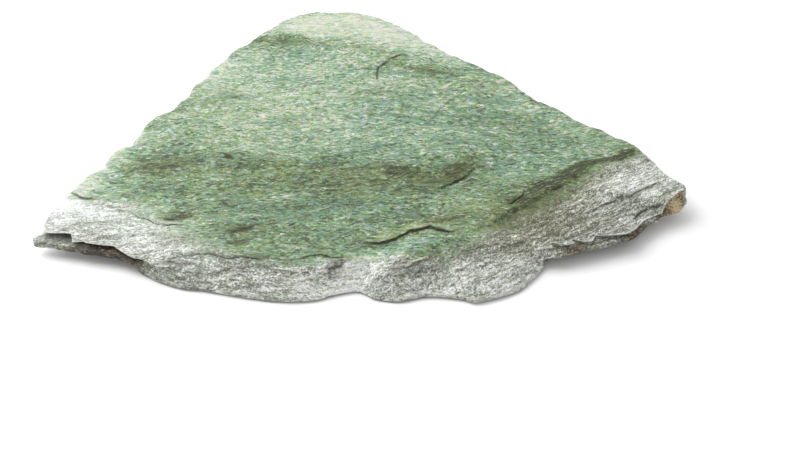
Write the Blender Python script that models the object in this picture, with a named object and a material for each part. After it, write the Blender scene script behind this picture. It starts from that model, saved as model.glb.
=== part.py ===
"""A natural cleft slab of green quartzite, broken to a fan shape: one solid stone, lying on its underside.

Metres, +Z up. X runs along the long front edge, and +Y points to the rounded apex at the back.
The origin is the centre of the bounding box's base, on the plane that the stone rests on.

The stone is a stack of layers. Seen in plan, it has three outlines around one centre: the rim, where it
is widest, the crest, where the green top face ends and the grey broken edge begins, and the base, where
the lowest layer ends. The broken edge is a fan of sections, one for each point of the rim. A section
runs from the crest down a slope to the upper layer's lip, into a split, out again to the lower layer's
edge, back under the stone to the lowest layer, and down that layer to the resting face.
"""

from collections import namedtuple
from math import pi, sin

import bmesh
import bpy
import numpy as np
from mathutils import Vector
from mathutils.geometry import delaunay_2d_cdt

# The stone's typical thickness. Its width and depth are the rim's.
THICKNESS = 0.0245

# The stone's plan is worked out as a radius around this point.
CENTRE = np.array((-0.010, -0.030))

# How far the top face stops short of the rim along the two back edges, on average, the share by which
# chips vary it, and their length.
BACK_CHAMFER = 0.0042
CHAMFER_CHANGE = 0.2
CHIP_LENGTH = 0.016

# Where a ray meets the rim at a slant, distances in from the rim are stretched. The rim's direction is
# taken between points this far to both sides, and the stretch is held below its limit.
CHORD = 0.007
LONGEST_SLANT = 2.4

# Sections around the rim, and how much closer they stand along the front, which starts at this Y and
# is in full this much further on.
SECTIONS = 176
FRONT_DENSITY = 0.7
FRONT_FROM_Y = -0.05
FRONT_BLEND = 0.04

# The riser at the crest's foot: how far out it reaches, and that as a share of the way to the lip.
RISER_RUN = 0.0016
RISER_SHARE = 0.12

# Where the slope's rows lie between the riser and the lip, as shares of the way.
SLOPE_SHARES = (0.25, 0.50, 0.75)

# The lowest layer's worn corners: how far in its wall stands, and how far they reach down at its top
# and at its foot.
WALL_IN = 0.0004
CORNER_DROP = 0.0006
FOOT_DROP = 0.0014

# The top face's points: their spacing, the number of rows and columns each way from the origin, how
# far a point strays as a share of the spacing, and how close one may stand to a ledge or a pit.
TOP_SPACING = 0.0056
TOP_CELLS = 40
TOP_STRAY = 0.5
TOP_GAP = 0.45

# A section of the broken edge. Every *_in is a distance in from the rim, and every *_z a height. The
# slope's bulge is how far it stands above a straight line, and scallop is the depth of the bowls that
# the break is made of. Layered is 1 where each layer has broken by itself and 0 where they broke as one.
Section = namedtuple(
    "Section",
    "riser bulge lip_in lip_z split_in split_z tongue_in tongue_z body_in body_z edge_in edge_z foot_in "
    "layered scallop",
)

LEFT_TIP = Section(
    riser=0.0004, bulge=0.0010, lip_in=0.0086, lip_z=0.0172, split_in=0.0210, split_z=0.0152,
    tongue_in=0.0008, tongue_z=0.0118, body_in=0.0002, body_z=0.0082, edge_in=0.0020, edge_z=0.0040,
    foot_in=0.0050, layered=0.7, scallop=0.0012,
)
TIP_STEP = LEFT_TIP._replace(lip_in=0.0100)
TIP_BACK = LEFT_TIP._replace(lip_in=0.0034, split_in=0.0110)
LEFT_SPLIT = Section(
    riser=0.0004, bulge=0.0010, lip_in=0.0028, lip_z=0.0148, split_in=0.0150, split_z=0.0136,
    tongue_in=0.0010, tongue_z=0.0112, body_in=0.0002, body_z=0.0080, edge_in=0.0020, edge_z=0.0040,
    foot_in=0.0050, layered=0.7, scallop=0.0014,
)
SPLIT_END = Section(
    riser=0.0004, bulge=0.0012, lip_in=0.0010, lip_z=0.0138, split_in=0.0060, split_z=0.0124,
    tongue_in=0.0014, tongue_z=0.0108, body_in=0.0008, body_z=0.0080, edge_in=0.0012, edge_z=0.0035,
    foot_in=0.0070, layered=0.4, scallop=0.0020,
)
FRONT = Section(
    riser=0.0005, bulge=0.0018, lip_in=0.0070, lip_z=0.0134, split_in=0.0056, split_z=0.0112,
    tongue_in=0.0041, tongue_z=0.0088, body_in=0.0025, body_z=0.0064, edge_in=0.0000, edge_z=0.0030,
    foot_in=0.0090, layered=0.0, scallop=0.0034,
)
SHOULDER = FRONT._replace(
    lip_in=0.0010, split_in=0.0018, tongue_in=0.0014, body_in=0.0010, scallop=0.0014,
)
LOBE = Section(
    riser=0.0008, bulge=0.0022, lip_in=0.0092, lip_z=0.0116, split_in=0.0073, split_z=0.0099,
    tongue_in=0.0052, tongue_z=0.0080, body_in=0.0030, body_z=0.0060, edge_in=0.0000, edge_z=0.0032,
    foot_in=0.0110, layered=0.0, scallop=0.0010,
)
UNDERCUT = Section(
    riser=0.0024, bulge=-0.0006, lip_in=0.0026, lip_z=0.0166, split_in=0.0040, split_z=0.0138,
    tongue_in=0.0006, tongue_z=0.0126, body_in=0.0002, body_z=0.0094, edge_in=0.0060, edge_z=0.0040,
    foot_in=0.0090, layered=0.8, scallop=0.0012,
)
LAMINAE = Section(
    riser=0.0020, bulge=0.0006, lip_in=0.0022, lip_z=0.0132, split_in=0.0034, split_z=0.0120,
    tongue_in=0.0010, tongue_z=0.0108, body_in=0.0002, body_z=0.0090, edge_in=0.0060, edge_z=0.0040,
    foot_in=0.0090, layered=0.8, scallop=0.0012,
)
RIGHT_TIP = Section(
    riser=0.0014, bulge=0.0004, lip_in=0.0066, lip_z=0.0212, split_in=0.0046, split_z=0.0178,
    tongue_in=0.0012, tongue_z=0.0142, body_in=0.0002, body_z=0.0104, edge_in=0.0060, edge_z=0.0040,
    foot_in=0.0090, layered=0.3, scallop=0.0020,
)
TIP_END = RIGHT_TIP._replace(lip_in=0.0024, split_in=0.0018)
BACK = Section(
    riser=0.0006, bulge=0.0004, lip_in=0.0010, lip_z=0.0206, split_in=0.0034, split_z=0.0172,
    tongue_in=0.0012, tongue_z=0.0142, body_in=0.0040, body_z=0.0092, edge_in=0.0050, edge_z=0.0040,
    foot_in=0.0150, layered=1.0, scallop=0.0034,
)

# The rim, anticlockwise from the left tip, with the section that the broken edge has there.
RIM = (
    (-0.2120, -0.1050, LEFT_TIP), (-0.2010, -0.1108, TIP_STEP), (-0.1920, -0.1133, LEFT_SPLIT),
    (-0.1670, -0.1168, LEFT_SPLIT),
    (-0.1455, -0.1256, SPLIT_END), (-0.1388, -0.1275, SHOULDER), (-0.1333, -0.1310, SHOULDER),
    (-0.1288, -0.1345, SHOULDER), (-0.1200, -0.1385, FRONT), (-0.1110, -0.1417, FRONT),
    (-0.1021, -0.1427, FRONT), (-0.0546, -0.1532, FRONT), (-0.0291, -0.1524, FRONT),
    (-0.0186, -0.1479, FRONT), (-0.0110, -0.1454, FRONT), (-0.0020, -0.1442, FRONT),
    (0.0099, -0.1522, FRONT), (0.0235, -0.1536, FRONT), (0.0409, -0.1490, LOBE),
    (0.0640, -0.1522, LOBE), (0.0694, -0.1549, LOBE), (0.0795, -0.1524, LOBE),
    (0.0983, -0.1435, LOBE), (0.1086, -0.1313, LOBE), (0.1156, -0.1219, LOBE),
    (0.1223, -0.1210, UNDERCUT), (0.1323, -0.1180, UNDERCUT), (0.1519, -0.1125, UNDERCUT),
    (0.1651, -0.1070, UNDERCUT), (0.1720, -0.1044, UNDERCUT), (0.1791, -0.0954, LAMINAE),
    (0.1860, -0.0862, LAMINAE), (0.1990, -0.0783, LAMINAE), (0.2064, -0.0745, RIGHT_TIP),
    (0.2113, -0.0671, RIGHT_TIP), (0.2138, -0.0596, TIP_END), (0.2108, -0.0551, BACK),
    (0.2003, -0.0394, BACK), (0.1939, -0.0289, BACK), (0.1898, -0.0215, BACK),
    (0.1844, -0.0139, BACK), (0.1734, -0.0033, BACK), (0.1616, 0.0055, BACK),
    (0.1481, 0.0178, BACK), (0.1377, 0.0300, BACK), (0.1266, 0.0384, BACK), (0.1157, 0.0489, BACK),
    (0.1056, 0.0617, BACK), (0.0938, 0.0737, BACK), (0.0772, 0.0890, BACK), (0.0598, 0.0998, BACK),
    (0.0507, 0.1108, BACK), (0.0431, 0.1168, BACK), (0.0369, 0.1278, BACK), (0.0217, 0.1419, BACK),
    (0.0143, 0.1462, BACK), (0.0039, 0.1519, BACK), (-0.0054, 0.1550, BACK),
    (-0.0133, 0.1566, BACK), (-0.0300, 0.1571, BACK), (-0.0434, 0.1569, BACK),
    (-0.0550, 0.1525, BACK), (-0.0652, 0.1462, BACK), (-0.0713, 0.1349, BACK),
    (-0.0819, 0.1264, BACK), (-0.0898, 0.1144, BACK), (-0.0996, 0.1058, BACK),
    (-0.1064, 0.0915, BACK), (-0.1085, 0.0888, BACK), (-0.1168, 0.0747, BACK),
    (-0.1217, 0.0658, BACK), (-0.1254, 0.0560, BACK), (-0.1270, 0.0447, BACK),
    (-0.1297, 0.0419, BACK), (-0.1379, 0.0234, BACK), (-0.1437, 0.0215, BACK),
    (-0.1548, 0.0077, BACK), (-0.1573, -0.0069, BACK), (-0.1592, -0.0132, BACK),
    (-0.1599, -0.0175, BACK), (-0.1687, -0.0173, BACK), (-0.1725, -0.0244, BACK),
    (-0.1774, -0.0383, BACK), (-0.1858, -0.0477, BACK), (-0.1919, -0.0606, BACK),
    (-0.1952, -0.0679, BACK), (-0.1982, -0.0757, BACK), (-0.2050, -0.0860, BACK),
    (-0.2058, -0.0906, BACK), (-0.2098, -0.0985, TIP_BACK),
)

# The front and right-hand edge of the green top face. Behind it the top face runs out to the back
# edges, so this line closes well outside them.
CREST = (
    (-0.2150, -0.0640), (-0.1739, -0.0762), (-0.1542, -0.0790), (-0.1364, -0.0932), (-0.1224, -0.1047),
    (-0.1020, -0.1200), (-0.0822, -0.1320), (-0.0509, -0.1365), (-0.0100, -0.1346), (0.0142, -0.1352),
    (0.0422, -0.1250), (0.0742, -0.1040), (0.1007, -0.0815), (0.1279, -0.0594), (0.1560, -0.0378),
    (0.1980, -0.0060), (0.1300, 0.1500), (-0.0300, 0.2200), (-0.1700, 0.1500), (-0.2300, 0.0300),
)

# The lowest layer's edge where it is broken off under the two ends. It closes outside the rim
# elsewhere, where the lowest layer reaches the rim.
BASE = (
    (-0.1410, -0.1700), (-0.1430, -0.1290), (-0.1460, -0.1130), (-0.1580, -0.0900), (-0.1560, -0.0660),
    (-0.1700, -0.0420), (-0.1760, -0.0100), (-0.1300, 0.1000), (-0.0300, 0.2000), (0.1000, 0.1200),
    (0.2000, 0.0000), (0.1760, -0.0230), (0.1610, -0.0480), (0.1420, -0.0680), (0.1320, -0.0930),
    (0.1200, -0.1120), (0.1195, -0.1290), (0.1205, -0.1700),
)

# A broad step of the top face, down towards the viewer: its middle line, height and width, and the X
# between which it fades out.
STEP_LINE = ((-0.240, -0.040), (-0.110, -0.044), (-0.016, -0.052), (0.030, -0.048), (0.075, -0.034))
STEP_HEIGHT = 0.0034
STEP_RUN = 0.026
STEP_ENDS_X = (0.060, 0.110)

# The apex stands a little higher, behind this line.
TERRACE_LINE = ((-0.110, 0.118), (-0.050, 0.112), (-0.016, 0.104), (0.006, 0.090), (0.060, 0.060))
TERRACE_HEIGHT = 0.0014
TERRACE_RUN = 0.020

# A ledge is the edge of a thin layer. To the right of its line, walking along it, the layer has broken
# off: the face drops by height, and comes back up to the layer over reach.
Ledge = namedtuple("Ledge", "height reach line")
LEDGES = (
    Ledge(0.0013, 0.020, (
        (-0.0040, -0.1180), (0.0091, -0.1183), (0.0154, -0.1179), (0.0217, -0.1145), (0.0293, -0.1094),
        (0.0389, -0.1055), (0.0433, -0.1050), (0.0471, -0.1075), (0.0572, -0.1086), (0.0650, -0.1060),
    )),
    Ledge(0.0013, 0.024, (
        (0.0440, -0.0660), (0.0551, -0.0584), (0.0605, -0.0526), (0.0652, -0.0486), (0.0714, -0.0422),
        (0.0780, -0.0370),
    )),
    Ledge(0.0009, 0.018, (
        (0.0086, 0.0560), (0.0067, 0.0640), (0.0067, 0.0722), (0.0084, 0.0788), (0.0119, 0.0828),
        (0.0169, 0.0879), (0.0220, 0.0909), (0.0300, 0.0960),
    )),
    Ledge(0.0010, 0.012, (
        (0.0930, -0.0810), (0.0968, -0.0776), (0.1016, -0.0727), (0.1052, -0.0661), (0.1070, -0.0620),
    )),
    Ledge(0.0006, 0.030, (
        (0.0200, 0.0010), (0.0310, 0.0034), (0.0405, 0.0078), (0.0465, 0.0163), (0.0530, 0.0286),
        (0.0640, 0.0440),
    )),
    Ledge(0.0010, 0.014, (
        (-0.1940, -0.0650), (-0.1914, -0.0668), (-0.1854, -0.0716), (-0.1800, -0.0730),
        (-0.1720, -0.0732),
    )),
    Ledge(0.0009, 0.012, (
        (-0.1530, -0.0850), (-0.1470, -0.0887), (-0.1427, -0.0924), (-0.1371, -0.0964),
        (-0.1303, -0.0998), (-0.1220, -0.1010), (-0.1101, -0.1030),
    )),
    Ledge(0.0020, 0.022, (
        (-0.0270, -0.1460), (-0.0231, -0.1420), (-0.0206, -0.1396), (-0.0176, -0.1373),
        (-0.0138, -0.1361), (-0.0094, -0.1350), (-0.0050, -0.1340),
    )),
    Ledge(0.0006, 0.014, (
        (0.0420, -0.1390), (0.0560, -0.1310), (0.0772, -0.1205), (0.0997, -0.1120), (0.1140, -0.1080),
    )),
    Ledge(0.0009, 0.020, (
        (0.1400, -0.0860), (0.1533, -0.0770), (0.1654, -0.0690), (0.1757, -0.0679), (0.1815, -0.0628),
        (0.1884, -0.0591), (0.1982, -0.0539), (0.2040, -0.0520),
    )),
    Ledge(0.0014, 0.012, (
        (0.1735, -0.0880), (0.1760, -0.0829), (0.1806, -0.0769), (0.1860, -0.0746), (0.1905, -0.0744),
        (0.1985, -0.0742),
    )),
)

# A ledge fades out over this share of its length at both ends, and on the slope it is this much lower.
LEDGE_ENDS = 0.22
LEDGE_ON_SLOPE = 0.8

# The top face has a row of points on each side of a ledge's line, at these distances to its right.
LEDGE_SIDES = (-0.0002, 0.0005)

# Those points stop this far inside the crest.
CREST_MARGIN = 0.003

# Small pits in the top face: centre, half length, half width and depth. Each has a ring of points at
# this share of its half size.
PIT_RING = 0.55
PIT_SIDES = 7
PITS = (
    (-0.1206, -0.0944, 0.0100, 0.0045, 0.0014),
    (-0.0749, -0.1060, 0.0110, 0.0045, 0.0012),
    (-0.0519, -0.0640, 0.0130, 0.0035, 0.0009),
    (-0.0078, -0.0720, 0.0110, 0.0040, 0.0010),
    (-0.1659, -0.1130, 0.0070, 0.0035, 0.0010),
    (0.0330, -0.0840, 0.0080, 0.0035, 0.0008),
)

# Slow waves of the top face: height, wavelength, direction and phase.
WAVES = (
    (0.0007, 0.150, 0.35, 0.6),
    (0.0005, 0.092, 1.35, 2.1),
    (0.0004, 0.061, 1.75, 4.0),
    (0.0003, 0.043, 0.95, 5.2),
)

# The layers' grain runs along X: long low ridges.
GRAIN_HEIGHT = 0.00045
GRAIN_LENGTH = 0.040
GRAIN_WIDTH = 0.010
GRAIN_BEND = 0.35
GRAIN_BEND_LENGTH = 0.035

# The broken edge's scallops: their size along X and down the front, the mean height of their pattern,
# the distance below the crest over which they set in, and how deep they are below the lip, as a share.
SCALLOP_LENGTH = 0.027
SCALLOP_DROP = 0.013
SCALLOP_MEAN = 0.25
SCALLOP_START = 0.005
SCALLOP_BELOW_LIP = 0.7

# Where the slope is long, its rows are too far apart for scallops, and those fade out past this spacing.
SCALLOP_ROW_GAP = 0.0055

# Where the edge is layered, each layer has broken off by itself, in chips: how far the chips of the
# upper, middle and lowest layer reach in, and how long they are. The pattern fades out over a short
# way on both sides of the left tip, where the walk around the rim starts and ends.
LAYER_REACH = (0.0014, 0.0044, 0.0056)
LAYER_LENGTH = 0.019
LAYER_UNEVEN = 0.0006
SEAM_FADE = 0.010

# The chips are a noise, fed to a smooth step: its middle, the height of its long waves, the height of its
# short waves, and how much shorter those are.
CHIP_MIDDLE = 0.5
CHIP_COARSE = 0.75
CHIP_FINE = 0.35
CHIP_FINE_SHARE = 2.7

# Shallow scars where flakes have left the underside: centre, half length, half width and turn.
SCARS = (
    ((-0.066, 0.020), 0.056, 0.030, 0.55),
    ((0.052, -0.070), 0.044, 0.022, -0.30),
    ((-0.072, -0.136), 0.042, 0.019, 0.10),
    ((0.062, 0.070), 0.046, 0.024, 2.35),
)
SCAR_DEPTH = 0.0022
SCAR_RAGGED = 0.28
SCAR_SIDES = 20

# A scar cutter's rings: each one's size as a share of the scar's, and its height as a share of the depth.
SCAR_RINGS = ((1.06, -1.0), (0.92, 0.7), (0.55, 1.0))

STONE_GREEN = (0.26, 0.33, 0.24, 1.0)
STONE_ROUGHNESS = 0.62


def clear_scene():
    """Remove the objects that Blender starts with."""
    for obj in list(bpy.data.objects):
        bpy.data.objects.remove(obj)


def smooth_step(x):
    """0 below 0, 1 above 1, and a smooth S between."""
    x = np.clip(x, 0.0, 1.0)
    return x * x * (3.0 - 2.0 * x)


def lattice(ix, iy, seed):
    """A repeatable number from 0 to 1 for each whole-numbered place."""
    mask = 0xFFFFFFFF
    h = (ix * 374761393 + iy * 668265263 + seed * 974634777) & mask
    h = ((h ^ (h >> 13)) * 1274126177) & mask
    h = ((h ^ (h >> 16)) * 2246822519) & mask
    return ((h ^ (h >> 15)) & 0xFFFFFF) / float(0xFFFFFF)


def noise(x, y, seed):
    """Smooth random heights from -1 to 1, with one lump for each unit of x and y."""
    fx, fy = np.floor(x), np.floor(y)
    ix, iy = fx.astype(np.int64), fy.astype(np.int64)
    sx, sy = smooth_step(x - fx), smooth_step(y - fy)
    low = lattice(ix, iy, seed) * (1 - sx) + lattice(ix + 1, iy, seed) * sx
    high = lattice(ix, iy + 1, seed) * (1 - sx) + lattice(ix + 1, iy + 1, seed) * sx
    return 2.0 * (low * (1 - sy) + high * sy) - 1.0


def scallops(x, y, seed):
    """Bowls that meet at sharp ridges, one for each unit of x and y: 0 in a bowl, up to about 1 on a ridge.

    The height is the squared distance to the nearest of the bowls' middles.
    """
    ix, iy = np.floor(x).astype(np.int64), np.floor(y).astype(np.int64)
    nearest = np.full(np.shape(x), np.inf)
    for i in (-1, 0, 1):
        for j in (-1, 0, 1):
            middle_x = ix + i + lattice(ix + i, iy + j, seed)
            middle_y = iy + j + lattice(ix + i, iy + j, seed + 57)
            nearest = np.minimum(nearest, (x - middle_x) ** 2 + (y - middle_y) ** 2)
    return np.minimum(nearest, 1.0)


def chips(x, layer):
    """Chips broken out of a layer's edge, one for each unit of x: 0 at the full edge, 1 in the deepest."""
    coarse = noise(x, np.full(np.shape(x), layer * 7.3), 11)
    fine = noise(x * CHIP_FINE_SHARE, np.full(np.shape(x), layer * 5.1), 29)
    return smooth_step(CHIP_MIDDLE + CHIP_COARSE * coarse + CHIP_FINE * fine)


def closed_curve(points, steps=24):
    """A smooth closed curve through the points: a centripetal Catmull-Rom spline, with steps to a span."""
    points = np.asarray(points, float)
    before, start = np.roll(points, 1, axis=0), points
    end, after = np.roll(points, -1, axis=0), np.roll(points, -2, axis=0)
    gap0 = np.sqrt(np.linalg.norm(start - before, axis=1))[:, None, None]
    gap1 = np.sqrt(np.linalg.norm(end - start, axis=1))[:, None, None]
    gap2 = np.sqrt(np.linalg.norm(after - end, axis=1))[:, None, None]
    t = np.arange(steps)[None, :, None] / steps * gap1
    p0, p1, p2, p3 = before[:, None], start[:, None], end[:, None], after[:, None]
    a1 = p1 + (p1 - p0) * t / gap0
    a2 = p1 + (p2 - p1) * t / gap1
    a3 = p2 + (p3 - p2) * (t - gap1) / gap2
    b1 = a1 + (a2 - a1) * (t + gap0) / (gap0 + gap1)
    b2 = a2 + (a3 - a2) * t / (gap1 + gap2)
    return (b1 + (b2 - b1) * t / gap1).reshape(-1, 2)


def polar(points):
    """The angle and radius of each point around the stone's centre."""
    away = np.asarray(points, float) - CENTRE
    return np.arctan2(away[:, 1], away[:, 0]), np.hypot(away[:, 0], away[:, 1])


def plan(angle, radius):
    """The X and Y of points given by angle and radius around the centre."""
    return CENTRE[0] + radius * np.cos(angle), CENTRE[1] + radius * np.sin(angle)


def radius_at(points, angle):
    """The radius, at each angle, of the smooth closed curve through the points."""
    curve_angle, curve_radius = polar(closed_curve(points))
    order = np.argsort(curve_angle)
    return np.interp(angle, curve_angle[order], curve_radius[order], period=2 * pi)


def rim_stations(count):
    """Where the sections stand: the angle, radius, slant and place along the rim of each.

    The slant is the length of a ray's stretch that crosses a band of unit width along the rim.
    """
    curve = closed_curve([row[:2] for row in RIM])
    ahead = np.roll(curve, -1, axis=0)
    front = smooth_step((FRONT_FROM_Y - curve[:, 1]) / FRONT_BLEND)
    length = np.linalg.norm(ahead - curve, axis=1)
    weighted = np.concatenate([[0.0], np.cumsum(length * (1.0 + FRONT_DENSITY * front))])
    distance = np.concatenate([[0.0], np.cumsum(length)])
    looped = np.vstack([curve, curve[:1]])
    places = (np.arange(count) + 0.5) / count * weighted[-1]
    x, y = (np.interp(places, weighted, looped[:, k]) for k in (0, 1))
    angle, radius = polar(np.column_stack([x, y]))
    along = np.interp(places, weighted, distance)
    ahead, behind = (
        np.column_stack([np.interp(along + way, distance, line, period=distance[-1]) for line in looped.T])
        for way in (CHORD, -CHORD)
    )
    tangent = (ahead - behind) / np.linalg.norm(ahead - behind, axis=1)[:, None]
    facing = np.abs(tangent[:, 1] * np.cos(angle) - tangent[:, 0] * np.sin(angle))
    slant = 1.0 / np.maximum(facing, 1.0 / LONGEST_SLANT)
    return angle, radius, slant, along


def section_values(angle):
    """Each field of the sections around the rim, blended between the rim's own points."""
    rim_angle, _ = polar([row[:2] for row in RIM])
    order = np.argsort(rim_angle)
    table = np.array([row[2] for row in RIM])[order]
    columns = [np.interp(angle, rim_angle[order], column, period=2 * pi) for column in table.T]
    return Section(*columns)


def beside(x, y, line):
    """How each point lies to a line: the distance, whether it is to the right, and the share along."""
    corners = np.asarray(line, float)
    steps = np.diff(corners, axis=0)
    lengths = np.linalg.norm(steps, axis=1)
    starts = np.concatenate([[0.0], np.cumsum(lengths)])
    distance = np.full(np.shape(x), np.inf)
    right = np.zeros(np.shape(x), bool)
    along = np.zeros(np.shape(x))
    for (ax, ay), (dx, dy), length, start in zip(corners[:-1], steps, lengths, starts[:-1], strict=True):
        t = np.clip(((x - ax) * dx + (y - ay) * dy) / length**2, 0.0, 1.0)
        away = np.hypot(x - ax - t * dx, y - ay - t * dy)
        nearer = away < distance
        distance = np.where(nearer, away, distance)
        right = np.where(nearer, dx * (y - ay) - dy * (x - ax) < 0, right)
        along = np.where(nearer, (start + t * length) / starts[-1], along)
    return distance, right, along


def ledge_drop(x, y):
    """How far the broken-off layers lower the surface at each point."""
    drop = np.zeros(np.shape(x))
    for ledge in LEDGES:
        distance, right, along = beside(x, y, ledge.line)
        ends = smooth_step(np.minimum(along, 1 - along) / LEDGE_ENDS)
        drop = drop + right * ledge.height * ends * (1 - smooth_step(distance / ledge.reach))
    return drop


def line_y(x, line):
    """The Y of a line across the top face at each X."""
    line = np.asarray(line)
    return np.interp(x, line[:, 0], line[:, 1])


def top_height(x, y):
    """The height of the top face: a level plane with waves, a step, a terrace, ledges, grain and pits."""
    z = np.full(np.shape(x), THICKNESS)
    for height, length, turn, phase in WAVES:
        z = z + height * np.sin(2 * pi * (x * np.cos(turn) + y * np.sin(turn)) / length + phase)
    step = smooth_step(0.5 + (y - line_y(x, STEP_LINE)) / STEP_RUN) - 0.5
    step_fades = 1 - smooth_step((x - STEP_ENDS_X[0]) / (STEP_ENDS_X[1] - STEP_ENDS_X[0]))
    z = z + STEP_HEIGHT * step * step_fades
    z = z + TERRACE_HEIGHT * (smooth_step(0.5 + (y - line_y(x, TERRACE_LINE)) / TERRACE_RUN) - 1.0)
    bend = GRAIN_BEND * np.sin(x / GRAIN_BEND_LENGTH)
    z = z + GRAIN_HEIGHT * noise(x / GRAIN_LENGTH, y / GRAIN_WIDTH + bend, 7)
    for pit_x, pit_y, half_x, half_y, depth in PITS:
        away = np.hypot((x - pit_x) / half_x, (y - pit_y) / half_y)
        z = z - depth * (1 - smooth_step(away))
    return z - ledge_drop(x, y)


def edge_rows(angle, radius, slant, along):
    """The sections' points from the crest down to the resting face, as (radius, height) rows."""
    s = section_values(angle)
    chamfer = BACK_CHAMFER * (1.0 + CHAMFER_CHANGE * (2.0 * chips(along / CHIP_LENGTH, 4) - 1.0))
    crest_r = np.minimum(radius - chamfer * slant, radius_at(CREST, angle))
    crest_z = top_height(*plan(angle, crest_r))
    lip_r = radius - s.lip_in * slant
    riser_r = crest_r + np.minimum(RISER_RUN, RISER_SHARE * (lip_r - crest_r))
    riser_z = crest_z - s.riser
    body_r = radius - s.body_in * slant
    base_r = np.minimum(radius - s.edge_in * slant, radius_at(BASE, angle))
    rows = [(crest_r, crest_z), (riser_r, riser_z)]
    for share in SLOPE_SHARES:
        crown = 4 * share * (1 - share) * s.bulge
        rows.append((riser_r + share * (lip_r - riser_r), riser_z + share * (s.lip_z - riser_z) + crown))
    rows.append((lip_r, s.lip_z))
    rows.append((radius - s.split_in * slant, s.split_z))
    rows.append((radius - s.tongue_in * slant, s.tongue_z))
    rows.append((body_r, s.body_z))
    rows.append((np.minimum(base_r - WALL_IN, body_r), s.body_z - CORNER_DROP))
    rows.append((base_r - WALL_IN, s.edge_z + CORNER_DROP))
    rows.append((base_r, s.edge_z - FOOT_DROP))
    rows.append((base_r - s.foot_in, np.zeros_like(angle)))
    return rows


# The rows of the slope between the crest and the lip, in edge_rows, and the layer that each row below
# the slope belongs to.
SLOPE_ROWS = range(1, 5)
LAYER_OF_ROW = {5: 0, 6: 1, 7: 1, 8: 1, 9: 2, 10: 2, 11: 2}


def bowls(x, y, z):
    """The scallops' height at points of the break, around 0, for a depth of 1."""
    return scallops(x / SCALLOP_LENGTH, (y + z) / SCALLOP_DROP, 3) - SCALLOP_MEAN


def broken(rows, angle, slant, along):
    """The same rows with the break's own forms: scallops and ledges on the slope, ragged layers below."""
    s = section_values(angle)
    seam = smooth_step(np.minimum(along, along[-1] - along) / SEAM_FADE)
    rough = list(rows)
    for number in SLOPE_ROWS:
        r, z = rows[number]
        (r0, z0), (r1, z1) = rows[number - 1], rows[number + 1]
        run, fall = r1 - r0, z0 - z1
        size = np.hypot(run, fall)
        down = np.hypot(r - rows[0][0], rows[0][1] - z)
        row_gap = size / 2
        fade = np.minimum(1.0, SCALLOP_ROW_GAP / row_gap) ** 2
        x, y = plan(angle, r)
        lift = s.scallop * bowls(x, y, z) * smooth_step(down / SCALLOP_START) * fade
        lift = lift - LEDGE_ON_SLOPE * ledge_drop(x, y)
        rough[number] = (r + lift * fall / size, z + lift * run / size)
    for number, layer in LAYER_OF_ROW.items():
        r, z = rows[number]
        chipped = -LAYER_REACH[layer] * chips(along / LAYER_LENGTH, layer)
        uneven = LAYER_UNEVEN * noise(along / LAYER_LENGTH * 3, np.full_like(along, number * 1.9), 17)
        x, y = plan(angle, r)
        scalloped = SCALLOP_BELOW_LIP * s.scallop * bowls(x, y, z) * smooth_step(z / SCALLOP_START)
        out = seam * s.layered * (chipped + uneven) + (1 - s.layered) * scalloped
        rough[number] = (r + slant * out, z)
    return rough


def beside_line(line, side):
    """Points beside a line's corners, by a distance to its right."""
    corners = np.asarray(line, float)
    forward = np.gradient(corners, axis=0)
    forward /= np.linalg.norm(forward, axis=1)[:, None]
    return corners + side * np.column_stack([forward[:, 1], -forward[:, 0]])


def inside_crest(points, angle, crest_r, margin):
    """Whether each point lies inside the crest by a margin."""
    order = np.argsort(angle)
    point_angle, point_radius = polar(points)
    return point_radius < np.interp(point_angle, angle[order], crest_r[order], period=2 * pi) - margin


def top_points(angle, crest_r):
    """The top face's inner points, and the edges that its triangles keep to along the ledges."""
    points, edges = [], []
    for ledge in LEDGES:
        for side in LEDGE_SIDES:
            line = beside_line(ledge.line, side)
            line = line[inside_crest(line, angle, crest_r, CREST_MARGIN)]
            first = len(points)
            points.extend(line)
            edges.extend((first + k, first + k + 1) for k in range(len(line) - 1))
    for pit_x, pit_y, half_x, half_y, _depth in PITS:
        turns = np.arange(PIT_SIDES) / PIT_SIDES * 2 * pi
        ring_x, ring_y = PIT_RING * half_x * np.cos(turns), PIT_RING * half_y * np.sin(turns)
        ring = np.vstack([np.column_stack([pit_x + ring_x, pit_y + ring_y]), [[pit_x, pit_y]]])
        points.extend(ring[inside_crest(ring, angle, crest_r, CREST_MARGIN)])
    features = np.array(points)
    numbers = np.arange(-TOP_CELLS, TOP_CELLS + 1)
    i, j = (a.ravel() for a in np.meshgrid(numbers, numbers, indexing="ij"))
    stray_x, stray_y = (TOP_STRAY * (lattice(i, j, seed) - 0.5) for seed in (1, 2))
    x = (i + 0.5 * (j % 2) + stray_x) * TOP_SPACING
    y = (j + stray_y) * TOP_SPACING * sin(pi / 3)
    spread = np.column_stack([x, y])
    spread = spread[inside_crest(spread, angle, crest_r, 0.5 * TOP_SPACING)]
    gap = np.linalg.norm(spread[:, None, :] - features[None, :, :], axis=2).min(axis=1)
    points.extend(spread[gap > TOP_GAP * TOP_SPACING])
    return points, edges


def add_top(bm, crest_ring, angle, crest_r):
    """Fill the crest's ring with the top face's triangles."""
    inner, edges = top_points(angle, crest_r)
    count = len(crest_ring)
    z = top_height(*np.array(inner).T)
    verts = list(crest_ring) + [bm.verts.new((x, y, h)) for (x, y), h in zip(inner, z, strict=True)]
    flat = [Vector(vert.co[:2]) for vert in verts]
    kept = [(count + a, count + b) for a, b in edges]
    _, _, faces, sources, _, _ = delaunay_2d_cdt(flat, kept, [list(range(count))], 1, 1e-6)
    for face in faces:
        bm.faces.new([verts[sources[corner][0]] for corner in face])


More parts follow.
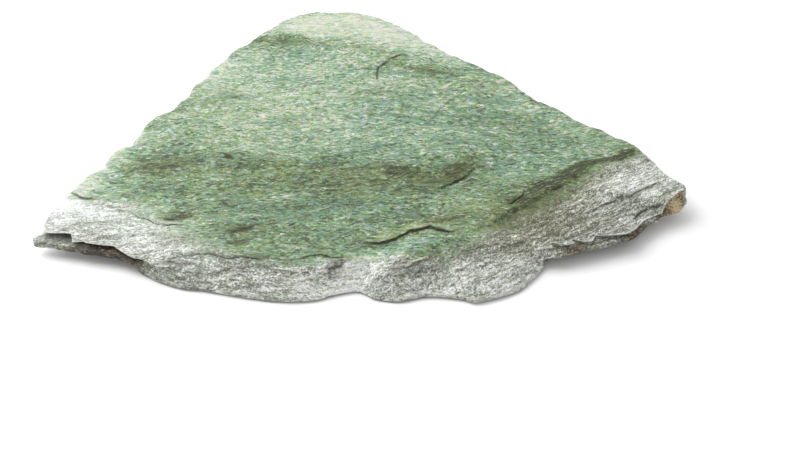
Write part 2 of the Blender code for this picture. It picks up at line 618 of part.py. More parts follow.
def stone_mesh():
    """The stone as a closed mesh: the top face, the rows of the broken edge and the resting face.

    The finished mesh is moved so that the middle of its box stands over the origin.
    """
    angle, radius, slant, along = rim_stations(SECTIONS)
    rows = broken(edge_rows(angle, radius, slant, along), angle, slant, along)
    bm = bmesh.new()
    rings = []
    for r, z in rows:
        x, y = plan(angle, r)
        rings.append([bm.verts.new(point) for point in zip(x, y, z, strict=True)])
    add_top(bm, rings[0], angle, rows[0][0])
    for upper, lower in zip(rings, rings[1:], strict=False):
        for k in range(SECTIONS):
            following = (k + 1) % SECTIONS
            bm.faces.new((upper[k], lower[k], lower[following], upper[following]))
    bm.faces.new(list(reversed(rings[-1])))
    bmesh.ops.triangulate(bm, faces=bm.faces[:])
    places = np.array([vert.co for vert in bm.verts])
    middle = (places.min(axis=0) + places.max(axis=0)) / 2
    bmesh.ops.translate(bm, verts=bm.verts[:], vec=(-middle[0], -middle[1], 0.0))
    mesh = bpy.data.meshes.new("slab")
    bm.to_mesh(mesh)
    bm.free()
    return mesh


def scar_cutter(name, centre, half_length, half_width, turn):
    """A shallow lens that cuts a flake's scar from the underside: an irregular oval with sloping sides."""
    bm = bmesh.new()
    angle = np.arange(SCAR_SIDES) / SCAR_SIDES * 2 * pi
    ragged = 1.0 + SCAR_RAGGED * noise(1.4 * np.cos(angle) + 90 * half_length, 1.4 * np.sin(angle), 5)
    along, across = half_length * ragged * np.cos(angle), half_width * ragged * np.sin(angle)
    x = along * np.cos(turn) - across * np.sin(turn)
    y = along * np.sin(turn) + across * np.cos(turn)
    rings = []
    for share, height in SCAR_RINGS:
        ring = zip(centre[0] + share * x, centre[1] + share * y, strict=True)
        rings.append([bm.verts.new((a, b, height * SCAR_DEPTH)) for a, b in ring])
    bm.faces.new(rings[0])
    bm.faces.new(rings[-1])
    for lower, upper in zip(rings, rings[1:], strict=False):
        for k in range(SCAR_SIDES):
            following = (k + 1) % SCAR_SIDES
            bm.faces.new((lower[k], lower[following], upper[following], upper[k]))
    bmesh.ops.recalc_face_normals(bm, faces=bm.faces[:])
    mesh = bpy.data.meshes.new(name)
    bm.to_mesh(mesh)
    bm.free()
    cutter = bpy.data.objects.new(name, mesh)
    bpy.context.scene.collection.objects.link(cutter)
    cutter.hide_render = True
    cutter.display_type = "WIRE"
    return cutter


def stone_material():
    """The stone's plain colour: a matt grey green."""
    material = bpy.data.materials.new("green_quartzite")
    material.use_nodes = True
    shader = material.node_tree.nodes["Principled BSDF"]
    shader.inputs["Base Color"].default_value = STONE_GREEN
    shader.inputs["Roughness"].default_value = STONE_ROUGHNESS
    shader.inputs["Metallic"].default_value = 0.0
    return material


def main():
    """Build the slab and cut the scars of its underside."""
    clear_scene()
    mesh = stone_mesh()
    mesh.materials.append(stone_material())
    slab = bpy.data.objects.new("slab", mesh)
    bpy.context.scene.collection.objects.link(slab)
    for number, (centre, half_length, half_width, turn) in enumerate(SCARS, start=1):
        cut = slab.modifiers.new(f"scar_{number}", "BOOLEAN")
        cut.operation = "DIFFERENCE"
        cut.object = scar_cutter(f"scar_cutter_{number}", centre, half_length, half_width, turn)


main()
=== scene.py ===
"""The finished look of a natural cleft slab of green quartzite, lying on a pale floor.

Metres, +Z up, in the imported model's frame: X runs along the long front edge, +Y points to the rounded
apex at the back, and the stone rests on Z = 0.

The stone is one closed surface in three parts that share their rings of points. The upper surface is a
grid that covers the green top face and the grey slope around it, out to the upper layer's lip. The broken
edge is a band of rows from the lip, through the split and the lower layers, down to the resting face. The
resting face is a coarser grid that closes the stone from below.
"""

import logging
import math
from collections.abc import Callable, Sequence
from dataclasses import dataclass, field, replace
from enum import Enum
from typing import NamedTuple

import bpy
import numpy as np
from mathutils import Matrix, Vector
from numpy.typing import NDArray


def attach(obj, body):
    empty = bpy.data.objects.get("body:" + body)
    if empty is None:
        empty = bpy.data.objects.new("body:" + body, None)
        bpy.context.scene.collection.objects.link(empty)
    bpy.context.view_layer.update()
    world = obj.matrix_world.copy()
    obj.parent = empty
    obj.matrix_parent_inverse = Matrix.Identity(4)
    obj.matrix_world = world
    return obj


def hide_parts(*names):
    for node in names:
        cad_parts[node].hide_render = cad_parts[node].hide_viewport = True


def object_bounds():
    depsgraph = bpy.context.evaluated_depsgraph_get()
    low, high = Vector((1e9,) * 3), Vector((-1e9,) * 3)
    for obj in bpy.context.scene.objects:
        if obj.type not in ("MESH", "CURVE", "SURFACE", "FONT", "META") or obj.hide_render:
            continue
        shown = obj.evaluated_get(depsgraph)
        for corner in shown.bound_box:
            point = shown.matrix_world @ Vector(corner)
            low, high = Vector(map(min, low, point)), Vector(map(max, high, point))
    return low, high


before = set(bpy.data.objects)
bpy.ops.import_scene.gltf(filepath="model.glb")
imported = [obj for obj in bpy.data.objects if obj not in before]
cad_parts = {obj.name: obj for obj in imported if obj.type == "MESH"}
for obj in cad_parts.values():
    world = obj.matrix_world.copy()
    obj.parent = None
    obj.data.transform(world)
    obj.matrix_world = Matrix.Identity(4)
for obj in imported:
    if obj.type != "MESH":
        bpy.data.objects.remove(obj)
CAD_BOX = [list(corner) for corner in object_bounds()]

Array = NDArray[np.float64]
TURN = 2 * math.pi

log = logging.getLogger("green_slab")


def smooth_step(x: Array) -> Array:
    """0 below 0, 1 above 1, and the cubic 3x^2 - 2x^3 between."""
    x = np.clip(x, 0.0, 1.0)
    return x * x * (3.0 - 2.0 * x)


def ramp(x: Array, low: float, high: float) -> Array:
    """A smooth step from 0 at low to 1 at high."""
    return smooth_step((x - low) / (high - low))


def lattice(ix: Array, iy: Array, seed: int) -> Array:
    """A repeatable number from 0 to 1 for each whole-numbered place.

    Args:
        ix: The place's first whole number.
        iy: Its second.
        seed: Picks one of many independent sets.

    Returns:
        The place's bits, multiplied and folded over themselves three times, as a share of the largest.
    """
    mask = 0xFFFFFFFF
    h = (ix * 374761393 + iy * 668265263 + seed * 974634777) & mask
    h = ((h ^ (h >> 13)) * 1274126177) & mask
    h = ((h ^ (h >> 16)) * 2246822519) & mask
    return ((h ^ (h >> 15)) & 0xFFFFFF) / float(0xFFFFFF)


def noise(x: Array, y: Array, seed: int) -> Array:
    """Smooth random heights from -1 to 1, with one lump for each unit of x and y.

    Args:
        x: The first coordinate.
        y: The second.
        seed: Picks one of many independent patterns.

    Returns:
        The lattice numbers of the four places around each point, blended by smooth steps.
    """
    fx, fy = np.floor(x), np.floor(y)
    ix, iy = fx.astype(np.int64), fy.astype(np.int64)
    sx, sy = smooth_step(x - fx), smooth_step(y - fy)
    low = lattice(ix, iy, seed) * (1 - sx) + lattice(ix + 1, iy, seed) * sx
    high = lattice(ix, iy + 1, seed) * (1 - sx) + lattice(ix + 1, iy + 1, seed) * sx
    return 2.0 * (low * (1 - sy) + high * sy) - 1.0


def rough_noise(x: Array, y: Array, seed: int, octaves: int = 3) -> Array:
    """Noise with finer noise on it.

    Args:
        x: The first coordinate.
        y: The second.
        seed: Picks one of many independent patterns.
        octaves: How many noises are added up.

    Returns:
        The sum of the noises, where each is turned by 37 degrees, twice as fine and half as high as the last.
    """
    total = np.zeros(np.shape(x))
    share = 1.0
    for octave in range(octaves):
        total = total + share * noise(x, y, seed + 101 * octave)
        x, y = 1.6 * x - 1.2 * y + 3.7, 1.2 * x + 1.6 * y - 1.9
        share *= 0.5
    return total


def stairs(x: Array, sharpness: float) -> Array:
    """A staircase with one tread for each unit of x, whose risers take up 1 / sharpness of a unit."""
    whole = np.floor(x)
    return whole + smooth_step((x - whole - 1.0) * sharpness + 1.0)


def scallops(x: Array, y: Array, seed: int) -> Array:
    """Bowls that meet at sharp ridges, one for each unit of x and y.

    Args:
        x: The first coordinate.
        y: The second.
        seed: Picks one of many independent patterns.

    Returns:
        The squared distance to the nearest of the bowls' middles: 0 in a bowl, up to 1 on a ridge.
    """
    ix, iy = np.floor(x).astype(np.int64), np.floor(y).astype(np.int64)
    nearest = np.full(np.shape(x), np.inf)
    for i in (-1, 0, 1):
        for j in (-1, 0, 1):
            middle_x = ix + i + lattice(ix + i, iy + j, seed)
            middle_y = iy + j + lattice(ix + i, iy + j, seed + 57)
            nearest = np.minimum(nearest, (x - middle_x) ** 2 + (y - middle_y) ** 2)
    return np.minimum(nearest, 1.0)


def chips(x: Array, layer: int) -> Array:
    """Chips broken out of a layer's edge, one for each unit of x: 0 at the full edge, 1 in the deepest."""
    coarse = noise(x, np.full(np.shape(x), layer * 7.3), 11)
    fine = noise(x * 2.7, np.full(np.shape(x), layer * 5.1), 29)
    return smooth_step(0.5 + 0.75 * coarse + 0.35 * fine)


class Grain(NamedTuple):
    """A noise by its height, the length and width of its lumps, and the seed of its pattern."""

    height: float
    length: float
    width: float
    seed: int

    def at(self, u: Array, v: Array) -> Array:
        """The noise's height at points, where u runs along its lumps and v across them."""
        return self.height * noise(u / self.length, v / self.width, self.seed)


def closed_curve(points: Sequence[tuple[float, float]], steps: int = 24) -> Array:
    """A smooth closed curve through points in the plan.

    Args:
        points: The corners to pass through, as (x, y).
        steps: The number of points for each span between two corners.

    Returns:
        The centripetal Catmull-Rom spline: between two corners, straight lines through four neighbouring
        corners are blended twice, by the square roots of the corners' gaps.
    """
    corners = np.asarray(points, float)
    before, start = np.roll(corners, 1, axis=0), corners
    end, after = np.roll(corners, -1, axis=0), np.roll(corners, -2, axis=0)
    gap0 = np.sqrt(np.linalg.norm(start - before, axis=1))[:, None, None]
    gap1 = np.sqrt(np.linalg.norm(end - start, axis=1))[:, None, None]
    gap2 = np.sqrt(np.linalg.norm(after - end, axis=1))[:, None, None]
    t = np.arange(steps)[None, :, None] / steps * gap1
    p0, p1, p2, p3 = before[:, None], start[:, None], end[:, None], after[:, None]
    a1 = p1 + (p1 - p0) * t / gap0
    a2 = p1 + (p2 - p1) * t / gap1
    a3 = p2 + (p3 - p2) * (t - gap1) / gap2
    b1 = a1 + (a2 - a1) * (t + gap0) / (gap0 + gap1)
    b2 = a2 + (a3 - a2) * t / (gap1 + gap2)
    return (b1 + (b2 - b1) * t / gap1).reshape(-1, 2)


class Section(NamedTuple):
    """One section of the broken edge, from the crest down.

    Every *_in is a distance in from the rim, and every *_z a height. The slope's bulge is how far it
    stands above a straight line, and scallop is the depth of the bowls that the break is made of. Layered
    is 1 where each layer has broken by itself and 0 where they broke as one.
    """

    riser: float
    bulge: float
    lip_in: float
    lip_z: float
    split_in: float
    split_z: float
    tongue_in: float
    tongue_z: float
    body_in: float
    body_z: float
    edge_in: float
    edge_z: float
    foot_in: float
    layered: float
    scallop: float


class RimPoint(NamedTuple):
    """A corner of the rim in the plan, with the section that the broken edge has there."""

    x: float
    y: float
    section: Section


LEFT_TIP = Section(
    riser=0.0004, bulge=0.0010, lip_in=0.0086, lip_z=0.0172, split_in=0.0210, split_z=0.0152,
    tongue_in=0.0008, tongue_z=0.0118, body_in=0.0002, body_z=0.0082, edge_in=0.0020, edge_z=0.0040,
    foot_in=0.0050, layered=0.7, scallop=0.0012,
)
TIP_STEP = LEFT_TIP._replace(lip_in=0.0100)
TIP_BACK = LEFT_TIP._replace(lip_in=0.0034, split_in=0.0110)
LEFT_SPLIT = Section(
    riser=0.0004, bulge=0.0010, lip_in=0.0028, lip_z=0.0148, split_in=0.0150, split_z=0.0136,
    tongue_in=0.0010, tongue_z=0.0112, body_in=0.0002, body_z=0.0080, edge_in=0.0020, edge_z=0.0040,
    foot_in=0.0050, layered=0.7, scallop=0.0014,
)
SPLIT_END = Section(
    riser=0.0004, bulge=0.0012, lip_in=0.0010, lip_z=0.0138, split_in=0.0060, split_z=0.0124,
    tongue_in=0.0014, tongue_z=0.0108, body_in=0.0008, body_z=0.0080, edge_in=0.0012, edge_z=0.0035,
    foot_in=0.0070, layered=0.4, scallop=0.0020,
)
FRONT = Section(
    riser=0.0005, bulge=0.0018, lip_in=0.0070, lip_z=0.0134, split_in=0.0056, split_z=0.0112,
    tongue_in=0.0041, tongue_z=0.0088, body_in=0.0025, body_z=0.0064, edge_in=0.0000, edge_z=0.0030,
    foot_in=0.0090, layered=0.0, scallop=0.0034,
)
SHOULDER = FRONT._replace(
    lip_in=0.0010, split_in=0.0018, tongue_in=0.0014, body_in=0.0010, scallop=0.0014,
)
LOBE = Section(
    riser=0.0008, bulge=0.0022, lip_in=0.0092, lip_z=0.0116, split_in=0.0073, split_z=0.0099,
    tongue_in=0.0052, tongue_z=0.0080, body_in=0.0030, body_z=0.0060, edge_in=0.0000, edge_z=0.0032,
    foot_in=0.0110, layered=0.0, scallop=0.0010,
)
UNDERCUT = Section(
    riser=0.0024, bulge=-0.0006, lip_in=0.0026, lip_z=0.0166, split_in=0.0040, split_z=0.0138,
    tongue_in=0.0006, tongue_z=0.0126, body_in=0.0002, body_z=0.0094, edge_in=0.0060, edge_z=0.0040,
    foot_in=0.0090, layered=0.8, scallop=0.0012,
)
LAMINAE = Section(
    riser=0.0020, bulge=0.0006, lip_in=0.0022, lip_z=0.0132, split_in=0.0034, split_z=0.0120,
    tongue_in=0.0010, tongue_z=0.0108, body_in=0.0002, body_z=0.0090, edge_in=0.0060, edge_z=0.0040,
    foot_in=0.0090, layered=0.8, scallop=0.0012,
)
RIGHT_TIP = Section(
    riser=0.0014, bulge=0.0004, lip_in=0.0066, lip_z=0.0212, split_in=0.0046, split_z=0.0178,
    tongue_in=0.0012, tongue_z=0.0142, body_in=0.0002, body_z=0.0104, edge_in=0.0060, edge_z=0.0040,
    foot_in=0.0090, layered=0.3, scallop=0.0020,
)
TIP_END = RIGHT_TIP._replace(lip_in=0.0024, split_in=0.0018)
BACK = Section(
    riser=0.0006, bulge=0.0004, lip_in=0.0010, lip_z=0.0206, split_in=0.0034, split_z=0.0172,
    tongue_in=0.0012, tongue_z=0.0142, body_in=0.0040, body_z=0.0092, edge_in=0.0050, edge_z=0.0040,
    foot_in=0.0150, layered=1.0, scallop=0.0034,
)

# The rim, anticlockwise from the left tip. Its corners were traced and fitted to the photographed outline.
RIM = tuple(
    RimPoint(*corner)
    for corner in (
        (-0.2120, -0.1050, LEFT_TIP), (-0.2010, -0.1108, TIP_STEP), (-0.1920, -0.1133, LEFT_SPLIT),
        (-0.1670, -0.1168, LEFT_SPLIT),
        (-0.1455, -0.1256, SPLIT_END), (-0.1388, -0.1275, SHOULDER), (-0.1333, -0.1310, SHOULDER),
        (-0.1288, -0.1345, SHOULDER), (-0.1200, -0.1385, FRONT), (-0.1110, -0.1417, FRONT),
        (-0.1021, -0.1427, FRONT), (-0.0546, -0.1532, FRONT), (-0.0291, -0.1524, FRONT),
        (-0.0186, -0.1479, FRONT), (-0.0110, -0.1454, FRONT), (-0.0020, -0.1442, FRONT),
        (0.0099, -0.1522, FRONT), (0.0235, -0.1536, FRONT), (0.0409, -0.1490, LOBE),
        (0.0640, -0.1522, LOBE), (0.0694, -0.1549, LOBE), (0.0795, -0.1524, LOBE),
        (0.0983, -0.1435, LOBE), (0.1086, -0.1313, LOBE), (0.1156, -0.1219, LOBE),
        (0.1223, -0.1210, UNDERCUT), (0.1323, -0.1180, UNDERCUT), (0.1519, -0.1125, UNDERCUT),
        (0.1651, -0.1070, UNDERCUT), (0.1720, -0.1044, UNDERCUT), (0.1791, -0.0954, LAMINAE),
        (0.1860, -0.0862, LAMINAE), (0.1990, -0.0783, LAMINAE), (0.2064, -0.0745, RIGHT_TIP),
        (0.2113, -0.0671, RIGHT_TIP), (0.2138, -0.0596, TIP_END), (0.2108, -0.0551, BACK),
        (0.2003, -0.0394, BACK), (0.1939, -0.0289, BACK), (0.1898, -0.0215, BACK),
        (0.1844, -0.0139, BACK), (0.1734, -0.0033, BACK), (0.1616, 0.0055, BACK),
        (0.1481, 0.0178, BACK), (0.1377, 0.0300, BACK), (0.1266, 0.0384, BACK),
        (0.1157, 0.0489, BACK), (0.1056, 0.0617, BACK), (0.0938, 0.0737, BACK),
        (0.0772, 0.0890, BACK), (0.0598, 0.0998, BACK), (0.0507, 0.1108, BACK),
        (0.0431, 0.1168, BACK), (0.0369, 0.1278, BACK), (0.0217, 0.1419, BACK),
        (0.0143, 0.1462, BACK), (0.0039, 0.1519, BACK), (-0.0054, 0.1550, BACK),
        (-0.0133, 0.1566, BACK), (-0.0300, 0.1571, BACK), (-0.0434, 0.1569, BACK),
        (-0.0550, 0.1525, BACK), (-0.0652, 0.1462, BACK), (-0.0713, 0.1349, BACK),
        (-0.0819, 0.1264, BACK), (-0.0898, 0.1144, BACK), (-0.0996, 0.1058, BACK),
        (-0.1064, 0.0915, BACK), (-0.1085, 0.0888, BACK), (-0.1168, 0.0747, BACK),
        (-0.1217, 0.0658, BACK), (-0.1254, 0.0560, BACK), (-0.1270, 0.0447, BACK),
        (-0.1297, 0.0419, BACK), (-0.1379, 0.0234, BACK), (-0.1437, 0.0215, BACK),
        (-0.1548, 0.0077, BACK), (-0.1573, -0.0069, BACK), (-0.1592, -0.0132, BACK),
        (-0.1599, -0.0175, BACK), (-0.1687, -0.0173, BACK), (-0.1725, -0.0244, BACK),
        (-0.1774, -0.0383, BACK), (-0.1858, -0.0477, BACK), (-0.1919, -0.0606, BACK),
        (-0.1952, -0.0679, BACK), (-0.1982, -0.0757, BACK), (-0.2050, -0.0860, BACK),
        (-0.2058, -0.0906, BACK), (-0.2098, -0.0985, TIP_BACK),
    )
)

# The front and right-hand edge of the green top face. Behind it the top face runs out to the back
# edges, so this line closes well outside them.
CREST = (
    (-0.2150, -0.0640), (-0.1739, -0.0762), (-0.1542, -0.0790), (-0.1364, -0.0932), (-0.1224, -0.1047),
    (-0.1020, -0.1200), (-0.0822, -0.1320), (-0.0509, -0.1365), (-0.0100, -0.1346), (0.0142, -0.1352),
    (0.0422, -0.1250), (0.0742, -0.1040), (0.1007, -0.0815), (0.1279, -0.0594), (0.1560, -0.0378),
    (0.1980, -0.0060), (0.1300, 0.1500), (-0.0300, 0.2200), (-0.1700, 0.1500), (-0.2300, 0.0300),
)

# The lowest layer's edge where it is broken off under the two ends. It closes outside the rim
# elsewhere, where the lowest layer reaches the rim.
BASE = (
    (-0.1410, -0.1700), (-0.1430, -0.1290), (-0.1460, -0.1130), (-0.1580, -0.0900), (-0.1560, -0.0660),
    (-0.1700, -0.0420), (-0.1760, -0.0100), (-0.1300, 0.1000), (-0.0300, 0.2000), (0.1000, 0.1200),
    (0.2000, 0.0000), (0.1760, -0.0230), (0.1610, -0.0480), (0.1420, -0.0680), (0.1320, -0.0930),
    (0.1200, -0.1120), (0.1195, -0.1290), (0.1205, -0.1700),
)


class Beside(NamedTuple):
    """How points lie to a line: the offset from its nearest place, the distance, the side and the share."""

    away_x: Array
    away_y: Array
    distance: Array
    right: Array
    along: Array


@dataclass(frozen=True)
class Line:
    """A line of corners across the stone's plan."""

    corners: tuple[tuple[float, float], ...]

    def beside(self, x: Array, y: Array) -> Beside:
        """How each point lies to the line.

        Args:
            x: The points' X.
            y: The points' Y.

        Returns:
            For each point, the nearest of its feet on the line's straight stretches, where a foot is the
            point's shadow on a stretch, held between its ends.
        """
        corners = np.asarray(self.corners)
        steps = np.diff(corners, axis=0)
        lengths = np.linalg.norm(steps, axis=1)
        starts = np.concatenate([[0.0], np.cumsum(lengths)])
        best = Beside(*(np.full(np.shape(x), value) for value in (0.0, 0.0, np.inf, 0.0, 0.0)))
        for (ax, ay), (dx, dy), length, start in zip(corners[:-1], steps, lengths, starts[:-1], strict=True):
            t = np.clip(((x - ax) * dx + (y - ay) * dy) / length**2, 0.0, 1.0)
            away_x, away_y = x - ax - t * dx, y - ay - t * dy
            side = (dx * (y - ay) - dy * (x - ax) < 0) * 1.0
            walked = (start + t * length) / starts[-1]
            found = Beside(away_x, away_y, np.hypot(away_x, away_y), side, walked)
            nearer = found.distance < best.distance
            best = Beside(*(np.where(nearer, new, old) for new, old in zip(found, best, strict=True)))
        return best

    def y_at(self, x: Array) -> Array:
        """The line's Y at each X, for a line that crosses the stone from left to right."""
        corners = np.asarray(self.corners)
        return np.interp(x, corners[:, 0], corners[:, 1])


@dataclass(frozen=True)
class Ledge:
    """The broken edge of a thin layer: the face is lower to the right of its line, walking along it.

    The layer swells a little along its edge. Crack is how dark the gap below it is, a painted shadow under
    the layer's edge, and gap is half the gap's width.
    """

    height: float
    reach: float
    swell: float
    crack: float
    gap: float
    line: Line
    swell_reach: float = 0.0040

    def ends(self, along: Array) -> Array:
        """1 along the middle of the line, fading to 0 at both of its ends."""
        return smooth_step(np.minimum(along, 1 - along) / 0.22)

    def lift(self, place: Beside) -> Array:
        """How far the ledge moves the face, in metres.

        Args:
            place: How each point lies to the ledge's line.

        Returns:
            To the right of the line, the height downwards, fading to 0 at the reach. To the left, the swell
            upwards, fading to 0 at the swell's reach. Both fade out at the line's ends.
        """
        right = -self.height * (1 - smooth_step(place.distance / self.reach))
        left = self.swell * (1 - smooth_step(place.distance / self.swell_reach))
        return np.where(place.right > 0, right, left) * self.ends(place.along)


LEDGES = (
    Ledge(0.0013, 0.020, 0.0010, 1.0, 0.0006, Line((
        (-0.0040, -0.1180), (0.0091, -0.1183), (0.0154, -0.1179), (0.0217, -0.1145), (0.0293, -0.1094),
        (0.0389, -0.1055), (0.0433, -0.1050), (0.0471, -0.1075), (0.0572, -0.1086), (0.0650, -0.1060),
    ))),
    Ledge(0.0010, 0.024, 0.0008, 0.0, 0.0004, Line((
        (0.0440, -0.0660), (0.0551, -0.0584), (0.0605, -0.0526), (0.0652, -0.0486), (0.0714, -0.0422),
        (0.0780, -0.0370),
    ))),
    Ledge(0.0009, 0.018, 0.0003, 0.9, 0.0005, Line((
        (0.0086, 0.0560), (0.0067, 0.0640), (0.0067, 0.0722), (0.0084, 0.0788), (0.0119, 0.0828),
        (0.0169, 0.0879), (0.0220, 0.0909), (0.0300, 0.0960),
    ))),
    Ledge(0.0010, 0.012, 0.0003, 0.3, 0.0004, Line((
        (0.0930, -0.0810), (0.0968, -0.0776), (0.1016, -0.0727), (0.1052, -0.0661), (0.1070, -0.0620),
    ))),
    Ledge(0.0006, 0.030, 0.0003, 0.0, 0.0004, Line((
        (0.0200, 0.0010), (0.0310, 0.0034), (0.0405, 0.0078), (0.0465, 0.0163), (0.0530, 0.0286),
        (0.0640, 0.0440),
    ))),
    Ledge(0.0010, 0.014, 0.0006, 0.6, 0.0004, Line((
        (-0.1940, -0.0650), (-0.1914, -0.0668), (-0.1854, -0.0716), (-0.1800, -0.0730),
        (-0.1720, -0.0732),
    ))),
    Ledge(0.0009, 0.012, 0.0003, 0.5, 0.0003, Line((
        (-0.1530, -0.0850), (-0.1470, -0.0887), (-0.1427, -0.0924), (-0.1371, -0.0964),
        (-0.1303, -0.0998), (-0.1220, -0.1010), (-0.1101, -0.1030),
    ))),
    Ledge(0.0012, 0.022, 0.0003, 0.0, 0.0007, Line((
        (-0.0270, -0.1460), (-0.0231, -0.1420), (-0.0206, -0.1396), (-0.0176, -0.1373),
        (-0.0138, -0.1361), (-0.0094, -0.1350), (-0.0050, -0.1340),
    ))),
    Ledge(0.0006, 0.014, 0.0003, 0.3, 0.0005, Line((
        (0.0420, -0.1390), (0.0560, -0.1310), (0.0772, -0.1205), (0.0997, -0.1120), (0.1140, -0.1080),
    ))),
    Ledge(0.0009, 0.020, 0.0003, 0.4, 0.0006, Line((
        (0.1400, -0.0860), (0.1533, -0.0770), (0.1654, -0.0690), (0.1757, -0.0679), (0.1815, -0.0628),
        (0.1884, -0.0591), (0.1982, -0.0539), (0.2040, -0.0520),
    ))),
    Ledge(0.0014, 0.012, 0.0003, 0.9, 0.0006, Line((
        (0.1735, -0.0880), (0.1760, -0.0829), (0.1806, -0.0769), (0.1860, -0.0746), (0.1905, -0.0744),
        (0.1985, -0.0742),
    ))),
    Ledge(0.0006, 0.006, 0.0003, 0.8, 0.0005, Line((
        (-0.1130, -0.1250), (-0.1088, -0.1263), (-0.1012, -0.1282), (-0.0934, -0.1303),
        (-0.0850, -0.1332), (-0.0756, -0.1330), (-0.0642, -0.1358), (-0.0560, -0.1370),
    ))),
    Ledge(0.0006, 0.006, 0.0003, 0.8, 0.0004, Line((
        (-0.0420, -0.1360), (-0.0387, -0.1345), (-0.0345, -0.1320), (-0.0308, -0.1309),
        (-0.0195, -0.1316), (-0.0051, -0.1347),
    ))),
    Ledge(0.0006, 0.005, 0.0003, 0.6, 0.0004, Line((
        (-0.1260, -0.1320), (-0.1231, -0.1318), (-0.1137, -0.1314), (-0.1060, -0.1331),
        (-0.0980, -0.1370),
    ))),
)


@dataclass(frozen=True)
class Seam:
    """A hairline of the surface, by its half width: dark where its strength is above 0, pale below 0."""

    width: float
    strength: float
    line: Line


